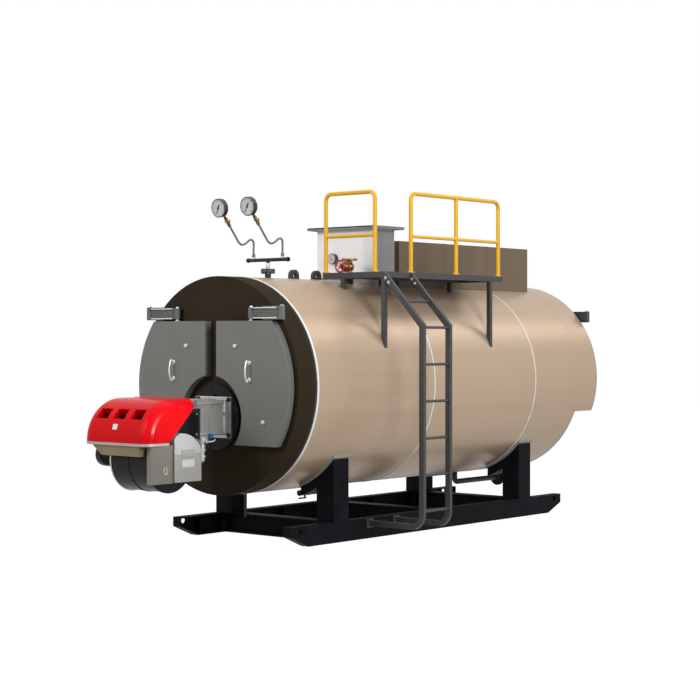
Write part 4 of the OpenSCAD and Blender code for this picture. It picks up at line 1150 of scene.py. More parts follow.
    def _gas(self) -> None:
        """Gas cock body, union nuts, feed stub, pale lever and blue knobs."""
        low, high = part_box("gas_valve")
        x = self.gas_x
        y = (low[1] + high[1]) / 2.0
        z = (low[2] + high[2]) / 2.0
        kit = Sketch()
        bell = self.cock_profile + ((self.cock_top_r, high[2] - low[2]),)
        kit.lathe((x, y, low[2]), UP, bell, 36)
        for end in (-1.0, 1.0):
            kit.rod((x, y + end * 0.020, z), (x, y + end * 0.043, z), 0.031, 0.002, 6)
        kit.rod((x + 0.02, y, z), (x + 0.062, y, z), 0.011, 0.002)
        kit.lathe((x, y, low[2] - self.feed_drop), UP, self.feed_profile, 36)
        kit.place("gas_cock", PLATE_ALLOY, BODY_ROOT, ("gas_valve",))
        lever = Sketch().slab([(y + u, z + v) for u, v in self.lever_outline], Axis.X,
                              x + 0.060, x + 0.068, 0.001)
        lever.place("gas_lever", GAUGE_FACE)
        knob = Sketch().lathe((x + 0.020, y + 0.080, z + 0.052), TO_RIGHT, self.knob_profile, 28)
        knob.lathe((x, y, low[2] - 0.150), UP, ((0.012, 0.0), (0.016, 0.003), (0.016, 0.019)), 24)
        knob.place("gas_knob", KNOB_BLUE)

    def _fan(self) -> None:
        """Rims and bolts of the volute, the cover's screws and its sight glass."""
        low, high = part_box("fan_volute")
        y = self.fan_y
        z = self.fan_z
        r = self.fan_r
        ends = arc((y, z), r + 0.002, self.fan_turns[0], self.fan_turns[1], 64)
        kit = Sketch()
        kit.tube([(high[0] - 0.010, u, v) for u, v in ends], 0.008, 10)
        kit.tube([((low[0] + high[0]) / 2.0, u, v) for u, v in ends], 0.004, 8)
        kit.place("volute_rims", BURNER_SATIN)
        far_rim = Sketch().tube([(low[0] + 0.008, u, v) for u, v in ends], 0.008, 10)
        far_rim.place("volute_far_rim", PLATE_ALLOY)
        spots = []
        for turn in (200, 226, 252, 278, 304):
            t = math.radians(turn)
            spots.append(((high[0] - 0.028, y + r * math.cos(t), z + r * math.sin(t)),
                          (0.0, math.cos(t), math.sin(t)), 0.0))
        Repeat(Motif.HEX_BOLT, 0.008, 0.006).place("volute_bolts", spots, BURNER_SATIN)
        low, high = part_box("volute_cover")
        face = high[0]
        spots = []
        for v in (low[2] + 0.022, (low[2] + high[2]) / 2.0, high[2] - 0.022):
            for u in (low[1] + 0.020, high[1] - 0.020):
                spots.append(((face - 0.001, u, v), TO_RIGHT, 0.0))
        Repeat(Motif.RIVET, 0.008, 0.004).place("cover_screws", spots, COVER_GREY)
        middle = (face - 0.001, low[1] + 0.175, low[2] + 0.115)
        glass = Sketch().lathe(middle, TO_RIGHT, self.sight_profile, 40)
        glass.place("sight_rim", DAMPER_SHELL)
        mark = Sketch().box((face + 0.004, low[1] + 0.172, low[2] + 0.094),
                            (face + 0.008, low[1] + 0.178, low[2] + 0.136), 0.001)
        mark.place("sight_hand", HOOD_GLOSS)

    def _motor(self) -> None:
        """Turned frame and cooling fins of the fan motor, with black dots of painted shade for its end
        holes.
        """
        low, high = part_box("fan_motor")
        y = (low[1] + high[1]) / 2.0
        z = (low[2] + high[2]) / 2.0
        r = (high[2] - low[2]) / 2.0
        profile = ((0.030, 0.0), (r * 0.86, 0.0), (r * 0.96, 0.012), (r, 0.030), (r, 0.085),
                   (r * 0.9, 0.088), (r * 0.9, 0.37), (r, 0.372), (r, high[0] - low[0]))
        kit = Sketch().lathe((low[0], y, z), TO_RIGHT, profile, 56)
        kit.place("motor_frame", BURNER_SATIN, BODY_ROOT, ("fan_motor",))
        spots = []
        for i in range(self.fin_count):
            t = 2.0 * math.pi * i / self.fin_count
            out = (0.0, math.cos(t), math.sin(t))
            spots.append(((low[0] + 0.23, y + 0.95 * r * out[1], z + 0.95 * r * out[2]), out, 0.0))
        Repeat(Motif.BAR, 0.285, 0.010, 0.004).place("motor_fins", spots, BURNER_SATIN)
        # Painted shade: black dots on the motor's end cover stand for the shade in its holes.
        slots = []
        for k in range(3):
            slots += ring_spots((low[0] - 0.0005, y, z), TO_LEFT, 0.035 + 0.022 * k, 12 + 6 * k)
        Repeat(Motif.RIVET, 0.005, 0.002).place("motor_end_hole_shade", slots, INK_AND_SHADE_BLACK)

    def _damper(self) -> None:
        """Rim, latch tongue, bare plate and screws of the damper box."""
        low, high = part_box("damper_box")
        face = high[0]
        seam = high[2]
        rim = Sketch().box((low[0] + 0.004, low[1] - 0.003, seam - 0.005),
                           (face + 0.004, high[1] + 0.003, seam + 0.005), 0.002)
        rim.place("damper_rim", DAMPER_SHELL)
        tongue = Sketch()
        tongue.box((face - 0.001, low[1] + 0.085, seam - 0.030),
                   (face + 0.008, low[1] + 0.255, seam + 0.042), 0.005)
        tongue.box((face + 0.006, low[1] + 0.135, seam - 0.022),
                   (face + 0.013, low[1] + 0.205, seam - 0.008), 0.003)
        tongue.place("damper_latch", DAMPER_SHELL)
        plate = Sketch().box((face - 0.001, low[1] + 0.097, low[2] + 0.134),
                             (face + 0.002, low[1] + 0.250, low[2] + 0.201), 0.0)
        plate.place("damper_plate", GAUGE_FACE)
        spots = [((face - 0.001, u, v), TO_RIGHT, 0.0) for u in (low[1] + 0.018, high[1] - 0.018)
                 for v in (low[2] + 0.018, seam - 0.026)]
        Repeat(Motif.RIVET, 0.007, 0.003).place("damper_screws", spots, DAMPER_SHELL)


@dataclass
class DialFace:
    """Rim, pale face, marks and hand of one round dial."""

    name: str
    front: Vector
    out: Vector
    up: Vector
    radius: float
    turn: float
    sweep: float = 270.0
    mark_count: int = 30
    main_step: int = 5
    rim_r: float = 0.0062
    mark: Point = (0.0022, 0.0012, 0.010)
    main_mark: Point = (0.0035, 0.0014, 0.016)
    hand_r: float = 0.0060
    hub_r: float = 0.011

    def build(self) -> None:
        """Adds all the pieces of the dial."""
        circle = [2.0 * math.pi * i / 64 for i in range(64)]
        rim = Sketch().tube([self._at(0.93, t, -0.004) for t in circle], self.rim_r, 10, True)
        rim.place(self.name + "_rim", GAUGE_RIM)
        face = Sketch().lathe(self._at(0.0, 0.0, -0.002), tuple(self.out),
                              ((self.radius * 0.91, 0.0), (self.radius * 0.91, 0.0026)), 64)
        face.place(self.name + "_face", GAUGE_FACE)
        marks = [self._mark(math.radians(90.0 + self.sweep * (0.5 - i / self.mark_count)))
                 for i in range(self.mark_count + 1)]
        for label, size, spots in (("marks", self.mark, marks),
                                   ("main_marks", self.main_mark, marks[::self.main_step])):
            Repeat(Motif.BAR, size[0], size[1], size[2]).place(f"{self.name}_{label}", spots, INK_AND_SHADE_BLACK)
        hand = Sketch().rod(self._at(-0.42, self.turn, 0.003), self._at(0.70, self.turn, 0.003),
                            self.hand_r, 0.0, 8, self.hand_r * 0.35)
        hand.lathe(self._at(0.0, 0.0, 0.001), tuple(self.out),
                   ((self.hub_r, 0.0), (self.hub_r, 0.004), (self.hub_r * 0.55, 0.006)), 24)
        hand.place(self.name + "_hand", INK_AND_SHADE_BLACK)

    def _ray(self, turn: float) -> Vector:
        """Gives the direction at an angle on the dial."""
        return self.up.cross(self.out) * math.cos(turn) + self.up * math.sin(turn)

    def _at(self, share: float, turn: float, rise: float) -> Point:
        """Gives a point on the dial.

        Args:
            share: distance from the middle as a share of the radius.
            turn: angle on the dial, in radians.
            rise: height over the dial's front.

        Returns:
            The point.
        """
        return tuple(self.front + self._ray(turn) * (share * self.radius) + self.out * rise)

    def _mark(self, turn: float) -> Spot:
        """Gives the spot of a mark that points at the middle."""
        local = upright(self.out, Vector()).to_3x3().inverted() @ -self._ray(turn)
        return self._at(0.76, turn, 0.001), tuple(self.out), math.atan2(local.y, local.x) + math.pi / 2.0


@dataclass
class Gauges:
    """Two pressure dials on siphons over a flanged stand."""

    x: float = 0.194
    stand_y: float = -1.757
    manifold_z: float = 2.748
    dial: tuple[float, float] = (0.480, 0.494)
    dial_r: float = 0.092
    depth: float = 0.046
    tilt: float = 8.0
    hand_turn: float = 242.0
    hand_step: float = 3.0
    pipe_r: float = 0.0105
    pipe_path: Profile = ((0.0, 0.030), (0.0, 0.110), (0.0, 0.172), (0.022, 0.203), (0.062, 0.197),
                          (0.115, 0.163), (0.168, 0.149), (0.208, 0.168), (0.236, 0.198), (0.285, 0.257),
                          (0.3425, 0.327))
    cock_end: tuple[float, float] = (0.403, 0.4005)
    flange_z: float = 2.616
    flange_ring_r: float = 0.052

    def build(self) -> None:
        """Adds siphons, cocks, dials, flange bolts and caps."""
        pipes = Sketch()
        cocks = Sketch()
        for side in Side:
            self._siphon(pipes, side.value * self.x)
            self._cock(cocks, side.value * self.x)
        pipes.place("siphon_pipes", SIPHON_STEEL, BODY_ROOT, ("gauge_siphons",))
        cocks.place("cock_bodies", COCK_BRASS, BODY_ROOT, ("gauge_cocks",))
        for side in Side:
            self._dial(side)
        self._stand()

    def _at(self, x: float, ahead: float, rise: float) -> Point:
        """Gives a point from its distance ahead of the stand and its rise over the manifold."""
        return (x, self.stand_y - ahead, self.manifold_z + rise)

    def _siphon(self, kit: Sketch, x: float) -> None:
        """Adds one siphon pipe with its soft bends and its nuts."""
        kit.tube(smooth([self._at(x, *p) for p in self.pipe_path], 6), self.pipe_r)
        kit.rod(self._at(x, 0.0, 0.028), self._at(x, 0.0, 0.052), 0.019, 0.002, 6)
        kit.rod(self._at(x, 0.0, 0.050), self._at(x, 0.0, 0.066), 0.015, 0.002)

    def _cock(self, kit: Sketch, x: float) -> None:
        """Adds one cock with its nuts and its cross handle."""
        start = Vector(self._at(x, *self.pipe_path[-1]))
        end = Vector(self._at(x, *self.cock_end))
        along = end - start
        for low, high, radius, sides in ((-0.02, 0.25, 0.020, 6), (0.25, 0.75, 0.0165, 24),
                                         (0.75, 1.02, 0.020, 6)):
            kit.rod(tuple(start + along * low), tuple(start + along * high), radius, 0.002, sides)
        middle = start + along * 0.5
        kit.rod((x - 0.030, middle.y, middle.z), (x + 0.034, middle.y, middle.z), 0.009, 0.002)
        kit.rod((x + 0.030, middle.y, middle.z - 0.024), (x + 0.030, middle.y, middle.z + 0.024),
                0.0055, 0.002)

    def _dial(self, side: Side) -> None:
        """Adds one dial, leaned back a little towards the reader."""
        lean = math.radians(self.tilt)
        out = Vector((0.0, -math.cos(lean), -math.sin(lean)))
        up = Vector((0.0, -math.sin(lean), math.cos(lean)))
        front = Vector(self._at(side.value * self.x, *self.dial)) + out * (self.depth / 2.0)
        turn = math.radians(self.hand_turn - self.hand_step * side.value)
        DialFace(side.word + "_dial", front, out, up, self.dial_r, turn).build()

    def _stand(self) -> None:
        """Adds the flange pair's gasket and bolts, and the manifold's caps and nipples."""
        end_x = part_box("gauge_stand")[1][0]
        flange = self.flange_z
        joint = Sketch().lathe((0.0, self.stand_y, flange + 0.0175), UP,
                               ((0.066, 0.0), (0.0712, 0.0005), (0.0712, 0.0045), (0.066, 0.005)), 48)
        joint.place("stand_gasket", LID_GREY)
        spots = ring_spots((0.0, self.stand_y, flange + 0.0395), UP, self.flange_ring_r, 8)
        spots += ring_spots((0.0, self.stand_y, flange + 0.0005), DOWN, self.flange_ring_r, 8)
        Repeat(Motif.HEX_BOLT, 0.0085, 0.009).place("stand_bolts", spots, BOLT_STEEL)
        caps = Sketch()
        nipples = Sketch()
        for side in Side:
            x = side.value * end_x
            caps.rod((x - side.value * 0.030, self.stand_y, self.manifold_z),
                     (x, self.stand_y, self.manifold_z), 0.0225, 0.004)
            nipples.rod((side.value * self.x, self.stand_y, self.manifold_z + 0.012),
                        (side.value * self.x, self.stand_y, self.manifold_z + 0.032), 0.020, 0.002, 6)
        nipples.rod((0.0, self.stand_y, flange + 0.046), (0.0, self.stand_y, self.manifold_z - 0.030),
                    0.0215, 0.002)
        nipples.place("manifold_nipples", PLATE_ALLOY)
        caps.place("manifold_caps", PIPE_BLACK)


@dataclass
class SteamOutlet:
    """The bronze valve, its wheel and the lifting lugs' welds."""

    x: float = 0.262
    y: float = -0.819
    z: float = 2.702
    wheel_r: float = 0.058
    rim_r: float = 0.0098
    spokes: int = 5
    bonnet_profile: Profile = ((0.052, 0.0), (0.056, 0.004), (0.056, 0.016), (0.040, 0.020),
                               (0.030, 0.042), (0.034, 0.046), (0.034, 0.058), (0.018, 0.062),
                               (0.016, 0.082))
    bonnet_ring_r: float = 0.047
    flange_ring_r: float = 0.068
    lug_places: tuple[float, float] = (-1.377, -1.033)
    lug_half: float = 0.060
    weld_z: tuple[float, float] = (2.5715, 2.572)

    def build(self) -> None:
        """Adds the wheel, the bonnet, flange bolts and welds."""
        self._wheel()
        self._bonnet()
        self._flange_bolts()
        self._lug_welds()

    def _rim(self, turn: float, y: float) -> Point:
        """Gives a point on the middle line of the wheel's rim."""
        return (self.x + self.wheel_r * math.cos(turn), y, self.z + self.wheel_r * math.sin(turn))

    def _wheel(self) -> None:
        """Rim, spokes, hub and nut of the handwheel."""
        low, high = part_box("valve_handwheel")
        middle = (low[1] + high[1]) / 2.0
        rim = [self._rim(2.0 * math.pi * i / 48, middle) for i in range(48)]
        wheel = Sketch().tube(rim, self.rim_r, 12, True)
        for i in range(self.spokes):
            t = 2.0 * math.pi * (i + 0.25) / self.spokes
            wheel.rod((self.x, middle, self.z), self._rim(t, middle), 0.0055, 0.0, 12, 0.0045)
        wheel.rod((self.x, low[1] + 0.001, self.z), (self.x, high[1] - 0.001, self.z), 0.015, 0.002)
        wheel.place("wheel_and_spokes", WHEEL_GLOSS, BODY_ROOT, ("valve_handwheel",))
        nut = Sketch()
        nut.rod((self.x, low[1] - 0.008, self.z), (self.x, low[1] + 0.004, self.z), 0.009, 0.001, 6)
        nut.place("wheel_nut", BOLT_STEEL)

    def _bonnet(self) -> None:
        """Turned bonnet of the valve, its gland nut and its bolts."""
        bonnet = Sketch().lathe((self.x, self.y - 0.050, self.z), TO_FRONT, self.bonnet_profile, 40)
        bonnet.rod((self.x, self.y - 0.088, self.z), (self.x, self.y - 0.106, self.z), 0.026, 0.002, 6)
        bonnet.place("valve_bonnet", VALVE_BRONZE)
        spots = ring_spots((self.x, self.y - 0.066, self.z), TO_FRONT, self.bonnet_ring_r, 6, 30.0)
        Repeat(Motif.HEX_BOLT, 0.006, 0.006).place("bonnet_bolts", spots, COCK_BRASS)

    def _flange_bolts(self) -> None:
        """Bolts on the valve's lower and upper flange."""
        low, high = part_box("steam_valve")
        spots = []
        for z in (low[2] + 0.016, high[2] - 0.0005):
            spots += ring_spots((self.x, self.y, z), UP, self.flange_ring_r, 8, 22.5)
        Repeat(Motif.HEX_BOLT, 0.0085, 0.009).place("valve_flange_bolts", spots, BOLT_STEEL)

    def _lug_welds(self) -> None:
        """Weld beads along the feet of the lifting lugs."""
        welds = Sketch()
        lug_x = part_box("lifting_lugs")[1][0] + 0.001
        edge_z, top_z = self.weld_z
        for y in self.lug_places:
            for side in Side:
                x = side.value * lug_x
                path = [(x, y - self.lug_half, edge_z), (x, y, top_z), (x, y + self.lug_half, edge_z)]
                welds.tube(path, 0.006, 8)
        welds.place("lug_welds", LUG_GREY)


@dataclass
class Platform:
    """Checker deck, post feet and bolted joints of the platform and its ladder."""

    tread_pitch: float = 0.030
    tread: Point = (0.0035, 0.0016, 0.012)
    foot_half: float = 0.038
    foot_side: float = 0.0215
    foot_t: float = 0.008
    front_posts: tuple[float, ...] = (0.210, 0.848)
    rear_posts: tuple[float, ...] = (-0.700, 0.057, 0.809)
    stiles: tuple[tuple[float, float], ...] = ((-1.155, -1.115), (-0.735, -0.695))
    ladder_x: float = 1.449
    rung_levels: tuple[float, ...] = (2.079, 1.722, 1.365, 1.008, 0.651, 0.306)
    slope_rung: tuple[float, float] = (1.2057, 2.333)
    top_bolts: tuple[tuple[float, float], ...] = ((1.006, 2.565), (1.044, 2.521))
    joint_bolt: tuple[float, float] = (0.011, 0.009)
    weld_r: float = 0.004

    def build(self) -> None:
        """Adds the treads, feet, joints and welds."""
        self._treads()
        self._post_feet()
        self._ladder_top()
        self._ladder_feet()
        self._rung_welds()

    def _treads(self) -> None:
        """Raised lozenges in a checker over the deck plate."""
        low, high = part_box("platform_deck")
        columns = int((high[0] - low[0]) / self.tread_pitch)
        rows = int((high[1] - low[1]) / self.tread_pitch)
        spots = []
        for i in range(columns):
            for j in range(rows):
                x = low[0] + (i + 0.5) * (high[0] - low[0]) / columns
                y = low[1] + (j + 0.5) * (high[1] - low[1]) / rows
                spots.append(((x, y, high[2] - 0.0002), UP,
                              math.radians(45.0 if (i + j) % 2 else -45.0)))
        Repeat(Motif.LOZENGE, *self.tread).place("deck_treads", spots, PLATFORM_ENAMEL)

    def _post_feet(self) -> None:
        """Foot plates, weld collars and bolts under the railing posts."""
        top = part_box("platform_frame")[1][2]
        front_y = (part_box("front_railing")[0][1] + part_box("front_railing")[1][1]) / 2.0
        rear_x = (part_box("rear_railing")[0][0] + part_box("rear_railing")[1][0]) / 2.0
        places = [((x, front_y), (1.0, 0.0)) for x in self.front_posts]
        places += [((rear_x, y), (0.0, 1.0)) for y in self.rear_posts]
        plates = Sketch()
        bolts = []
        for (x, y), (along_x, along_y) in places:
            half_x = self.foot_half * along_x + self.foot_side * along_y
            half_y = self.foot_half * along_y + self.foot_side * along_x
            plates.box((x - half_x, y - half_y, top - 0.001),
                       (x + half_x, y + half_y, top + self.foot_t), 0.002)
            plates.lathe((x, y, top + self.foot_t - 0.001), UP,
                         ((0.029, 0.0), (0.026, 0.004), (0.0205, 0.009)), 28)
            for end in (-1.0, 1.0):
                shift = end * (self.foot_half - 0.010)
                bolts.append(((x + shift * along_x, y + shift * along_y, top + self.foot_t - 0.0005),
                              UP, 0.4))
        plates.place("post_feet", RAIL_GLOSS)
        Repeat(Motif.HEX_BOLT, 0.0055, 0.006).place("post_bolts", bolts, BOLT_STEEL)

    def _ladder_top(self) -> None:
        """Bolts that hold the stiles to the platform's frame."""
        spots = []
        for y0, y1 in self.stiles:
            for x, z in self.top_bolts:
                spots.append(((x, y0 + 0.0005, z), TO_FRONT, 0.3))
                spots.append(((x, y1 - 0.0005, z), TO_REAR, 0.3))
        Repeat(Motif.HEX_BOLT, *self.joint_bolt).place("ladder_top_bolts", spots, BOLT_STEEL)

    def _ladder_feet(self) -> None:
        """Foot plates that bolt the stiles to the runner."""
        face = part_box("skid_runners")[1][0]
        plates = Sketch()
        spots = []
        for y0, y1 in self.stiles:
            plates.box((face - 0.001, y0 - 0.032, 0.104), (face + 0.010, y1 + 0.032, 0.194), 0.002)
            for y in (y0 - 0.017, y1 + 0.017):
                for z in (0.120, 0.178):
                    spots.append(((face + 0.0095, y, z), TO_RIGHT, 0.2))
        plates.place("ladder_foot_plates", PLATFORM_ENAMEL)
        Repeat(Motif.HEX_BOLT, 0.008, 0.007).place("ladder_foot_bolts", spots, LUG_GREY)

    def _rung_welds(self) -> None:
        """Weld rings where the rungs meet the stiles."""
        inner = (self.stiles[0][1], self.stiles[1][0])
        middles = [(self.ladder_x, z) for z in self.rung_levels] + [self.slope_rung]
        spots = []
        for x, z in middles:
            spots.append(((x, inner[0] + 0.001, z), TO_REAR, 0.0))
            spots.append(((x, inner[1] - 0.001, z), TO_FRONT, 0.0))
        Repeat(Motif.TUBE_END, 0.0145, self.weld_r).place("rung_welds", spots, PLATFORM_ENAMEL)


@dataclass
class WaterTank:
    """Folded lid edge, rim angle, side sheets of painted shade, rivets and dial of the water tank."""

    fold: float = 0.016
    sheet: float = 0.003
    angle_h: float = 0.026
    gauge_x: float = -0.147
    gauge_z: float = 2.801
    gauge_r: float = 0.055
    gauge_out: float = 0.046
    hand_turn: float = 120.0

    def build(self) -> None:
        """Adds the lid's fold, the rim angle, the side sheets of painted shade, the rivets and the dial."""
        low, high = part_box("water_tank")
        self._edges(low, high)
        self._sides(low, high)
        self._rivets(low, high)
        front = Vector((self.gauge_x, low[1] - self.gauge_out, self.gauge_z))
        DialFace("tank_dial", front, Vector(TO_FRONT), Vector(UP), self.gauge_r,
                 math.radians(self.hand_turn), mark=(0.0016, 0.0012, 0.006),
                 main_mark=(0.0024, 0.0014, 0.009), rim_r=0.0048, hand_r=0.0028, hub_r=0.007).build()

    def _edges(self, low: Point, high: Point) -> None:
        """Adds the lid's folded edge and the angle round the tank's rim."""
        lid_low, lid_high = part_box("tank_lid")
        fold = Sketch()
        self._frame(fold, lid_low, lid_high, lid_low[2] - self.fold, lid_high[2] - 0.001, self.sheet)
        fold.place("lid_fold", LID_GREY)
        angle = Sketch()
        self._frame(angle, (low[0] - self.sheet, low[1] - self.sheet, 0.0),
                    (high[0] + self.sheet, high[1] + self.sheet, 0.0), high[2] - self.angle_h, high[2],
                    self.sheet * 1.5)
        angle.place("tank_rim_angle", TANK_WHITE)

    def _sides(self, low: Point, high: Point) -> None:
        """Adds darker sheets on the tank's left and right walls: painted shade on the sides of the white
        tank.
        """
        kit = Sketch()
        for side in Side:
            wall = side.value * high[0]
            kit.box((wall - 0.0005, low[1] + 0.004, low[2] + 0.002),
                    (wall + side.value * 0.002, high[1] - 0.004, high[2] - self.angle_h), 0.0)
        kit.place("tank_shaded_sides", TANK_SIDE_SHADE)

    def _rivets(self, low: Point, high: Point) -> None:
        """Adds the rivets along the rim angle."""
        z = high[2] - 0.013
        spots = []
        for side in Side:
            for y in (low[1] + 0.05, (low[1] + high[1]) / 2.0, high[1] - 0.05):
                spots.append(((side.value * (high[0] + self.sheet), y, z), side.out, 0.0))
        for i in range(5):
            x = low[0] + 0.05 + i * (high[0] - low[0] - 0.10) / 4
            spots.append(((x, low[1] - self.sheet, z), TO_FRONT, 0.0))
        Repeat(Motif.RIVET, 0.006, 0.003).place("tank_rim_rivets", spots, BOLT_STEEL)

    def _frame(self, kit: Sketch, low: Point, high: Point, bottom: float, top: float,
               sheet: float) -> None:
        """Adds four thin walls round a rectangle.

        Args:
            kit: the sketch to add to.
            low: lowest corner of the rectangle.
            high: highest corner of the rectangle.
            bottom: where the walls start.
            top: where the walls end.
            sheet: thickness of the walls.
        """
        kit.box((low[0], low[1], bottom), (high[0], low[1] + sheet, top), 0.0)
        kit.box((low[0], high[1] - sheet, bottom), (high[0], high[1], top), 0.0)
        kit.box((low[0], low[1], bottom), (low[0] + sheet, high[1], top), 0.0)
        kit.box((high[0] - sheet, low[1], bottom), (high[0], high[1], top), 0.0)


@dataclass
class FlueCasing:
    """Cross joint strips and rivets of the flue casing."""

    strip: float = 0.022
    sheet: float = 0.0025
    joints: int = 3

    def build(self) -> None:
        """Adds the strips and their rivets."""
        low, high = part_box("flue_casing")
        kit = Sketch()
        spots = []
        for i in range(1, self.joints):
            y = low[1] + i * (high[1] - low[1]) / self.joints
            kit.box((low[0] - self.sheet, y - self.strip / 2, low[2] + 0.005),
                    (high[0] + self.sheet, y + self.strip / 2, high[2] + self.sheet), 0.001)
            for side in Side:
                for k in range(5):
                    z = low[2] + 0.06 + k * (high[2] - low[2] - 0.10) / 4
                    spots.append(((side.value * (high[0] + self.sheet), y, z), side.out, 0.0))
        kit.place("casing_joint_strips", CASING_TAUPE)
        Repeat(Motif.RIVET, 0.005, 0.002).place("casing_rivets", spots, CASING_TAUPE)


@dataclass
class RearEnd:
    """Bolts of the rear cover, the band round the end plate and the heads of the hinge pins."""

    axis_z: float = 1.52
    cover_r: float = 1.036
    bolt_in: float = 0.034
    arc_bolts: int = 24
    foot_bolts: int = 13
    bolt: tuple[float, float] = (0.013, 0.012)
    band_r: float = 1.0508
    band_step: float = 0.0005
    band_seat: float = 0.011
    pin_x: float = 0.880
    pin_head: Point = (0.022, 0.012, 0.003)

    def build(self) -> None:
        """Adds the bolts, the band and the pin heads."""
        low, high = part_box("rear_cover")
        face = high[1] - 0.0005
        floor = low[2] + self.bolt_in
        ring = self.cover_r - self.bolt_in
        start = math.degrees(math.asin((floor - self.axis_z) / ring)) + 4.0
        spots = []
        for u, v in arc((0.0, self.axis_z), ring, start, 180.0 - start, self.arc_bolts):
            spots.append(((u, face, v), TO_REAR, 0.2))
        reach = math.sqrt(ring ** 2 - (floor - self.axis_z) ** 2) - 0.06
        for i in range(self.foot_bolts):
            spots.append(((reach * (2.0 * i / (self.foot_bolts - 1) - 1.0), face, floor),
                          TO_REAR, 0.2))
        Repeat(Motif.HEX_BOLT, *self.bolt).place("rear_cover_bolts", spots, BOLT_STEEL)
        front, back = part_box("rear_end_plate")
        wide = back[1] - front[1] + self.band_step
        seat_r = self.band_r - self.band_seat
        profile = ((seat_r, wide * 0.4), (self.band_r, 0.0), (self.band_r, wide), (seat_r, wide * 0.6))
        band = Sketch().lathe((0.0, front[1] - self.band_step, self.axis_z), TO_REAR, profile, 192)
        band.place("rear_joint_cover", BRONZE_CLADDING)
        hinge_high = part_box("rear_hinges")[1]
        pin_y = high[1] + 0.035
        kit = Sketch()
        for side in Side:
            x = side.value * self.pin_x
            kit.rod((x, pin_y, hinge_high[2] - 0.001), (x, pin_y, hinge_high[2] + self.pin_head[1]),
                    self.pin_head[0], self.pin_head[2], 6)
        kit.place("rear_pin_heads", BOLT_STEEL)


@dataclass
class SkidFrame:
    """Web ribs of the skid, and the fittings of the blowdown and the drain."""

    runner_in: float = 0.690
    web: float = 0.776
    rib_t: float = 0.010
    rib_in: float = 0.015
    blow_ring_r: float = 0.066
    rib_places: tuple[float, ...] = (-2.0, -1.68, -1.46, -0.75, 0.0, 0.75, 1.46, 1.68, 2.0)
    blow_z: float = 0.355
    drain_y: float = -1.208
    drain_z: float = 0.410

    def build(self) -> None:
        """Adds the ribs, the bolts and the drain levers."""
        self._ribs()
        self._blowdown()
        self._drain()

    def _ribs(self) -> None:
        """Stiffener plates across the inside of both runners."""
        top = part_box("skid_runners")[1][2] - self.rib_in
        kit = Sketch()
        for side in Side:
            ends = sorted((side.value * (self.runner_in + 0.004), side.value * self.web))
            for y in self.rib_places:
                kit.box((ends[0], y - self.rib_t / 2, self.rib_in), (ends[1], y + self.rib_t / 2, top),
                        0.001)
        kit.place("runner_ribs", SKID_ENAMEL)

    def _blowdown(self) -> None:
        """Bolts through the blowdown flange and a weld at its neck."""
        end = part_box("blowdown_pipe")[1][1]
        spots = ring_spots((0.0, end - 0.0005, self.blow_z), TO_REAR, self.blow_ring_r, 8, 22.5)
        spots += ring_spots((0.0, end - 0.0235, self.blow_z), TO_FRONT, self.blow_ring_r, 8, 22.5)
        Repeat(Motif.HEX_BOLT, 0.010, 0.009).place("blowdown_bolts", spots, PIPE_BLACK)
        weld = Sketch().lathe((0.0, end - 0.036, self.blow_z), TO_REAR,
                              ((0.0295, 0.0), (0.034, 0.004), (0.038, 0.012)), 32)
        weld.place("blowdown_weld", PIPE_BLACK)

    def _drain(self) -> None:
        """Union nuts and the lever of the drain valve."""
        kit = Sketch()
        for start, end in ((-0.092, -0.066), (0.036, 0.062)):
            kit.rod((0.0, self.drain_y + start, self.drain_z), (0.0, self.drain_y + end, self.drain_z),
                    0.031, 0.002, 6)
        kit.rod((0.0, self.drain_y, self.drain_z - 0.022), (0.0, self.drain_y, self.drain_z - 0.050),
                0.010, 0.002)
        kit.place("drain_unions", PIPE_BLACK)
        lever = Sketch().box((-0.012, self.drain_y - 0.085, self.drain_z - 0.060),
                             (0.012, self.drain_y + 0.014, self.drain_z - 0.046), 0.003)
        lever.place("drain_lever", PIPE_BLACK)


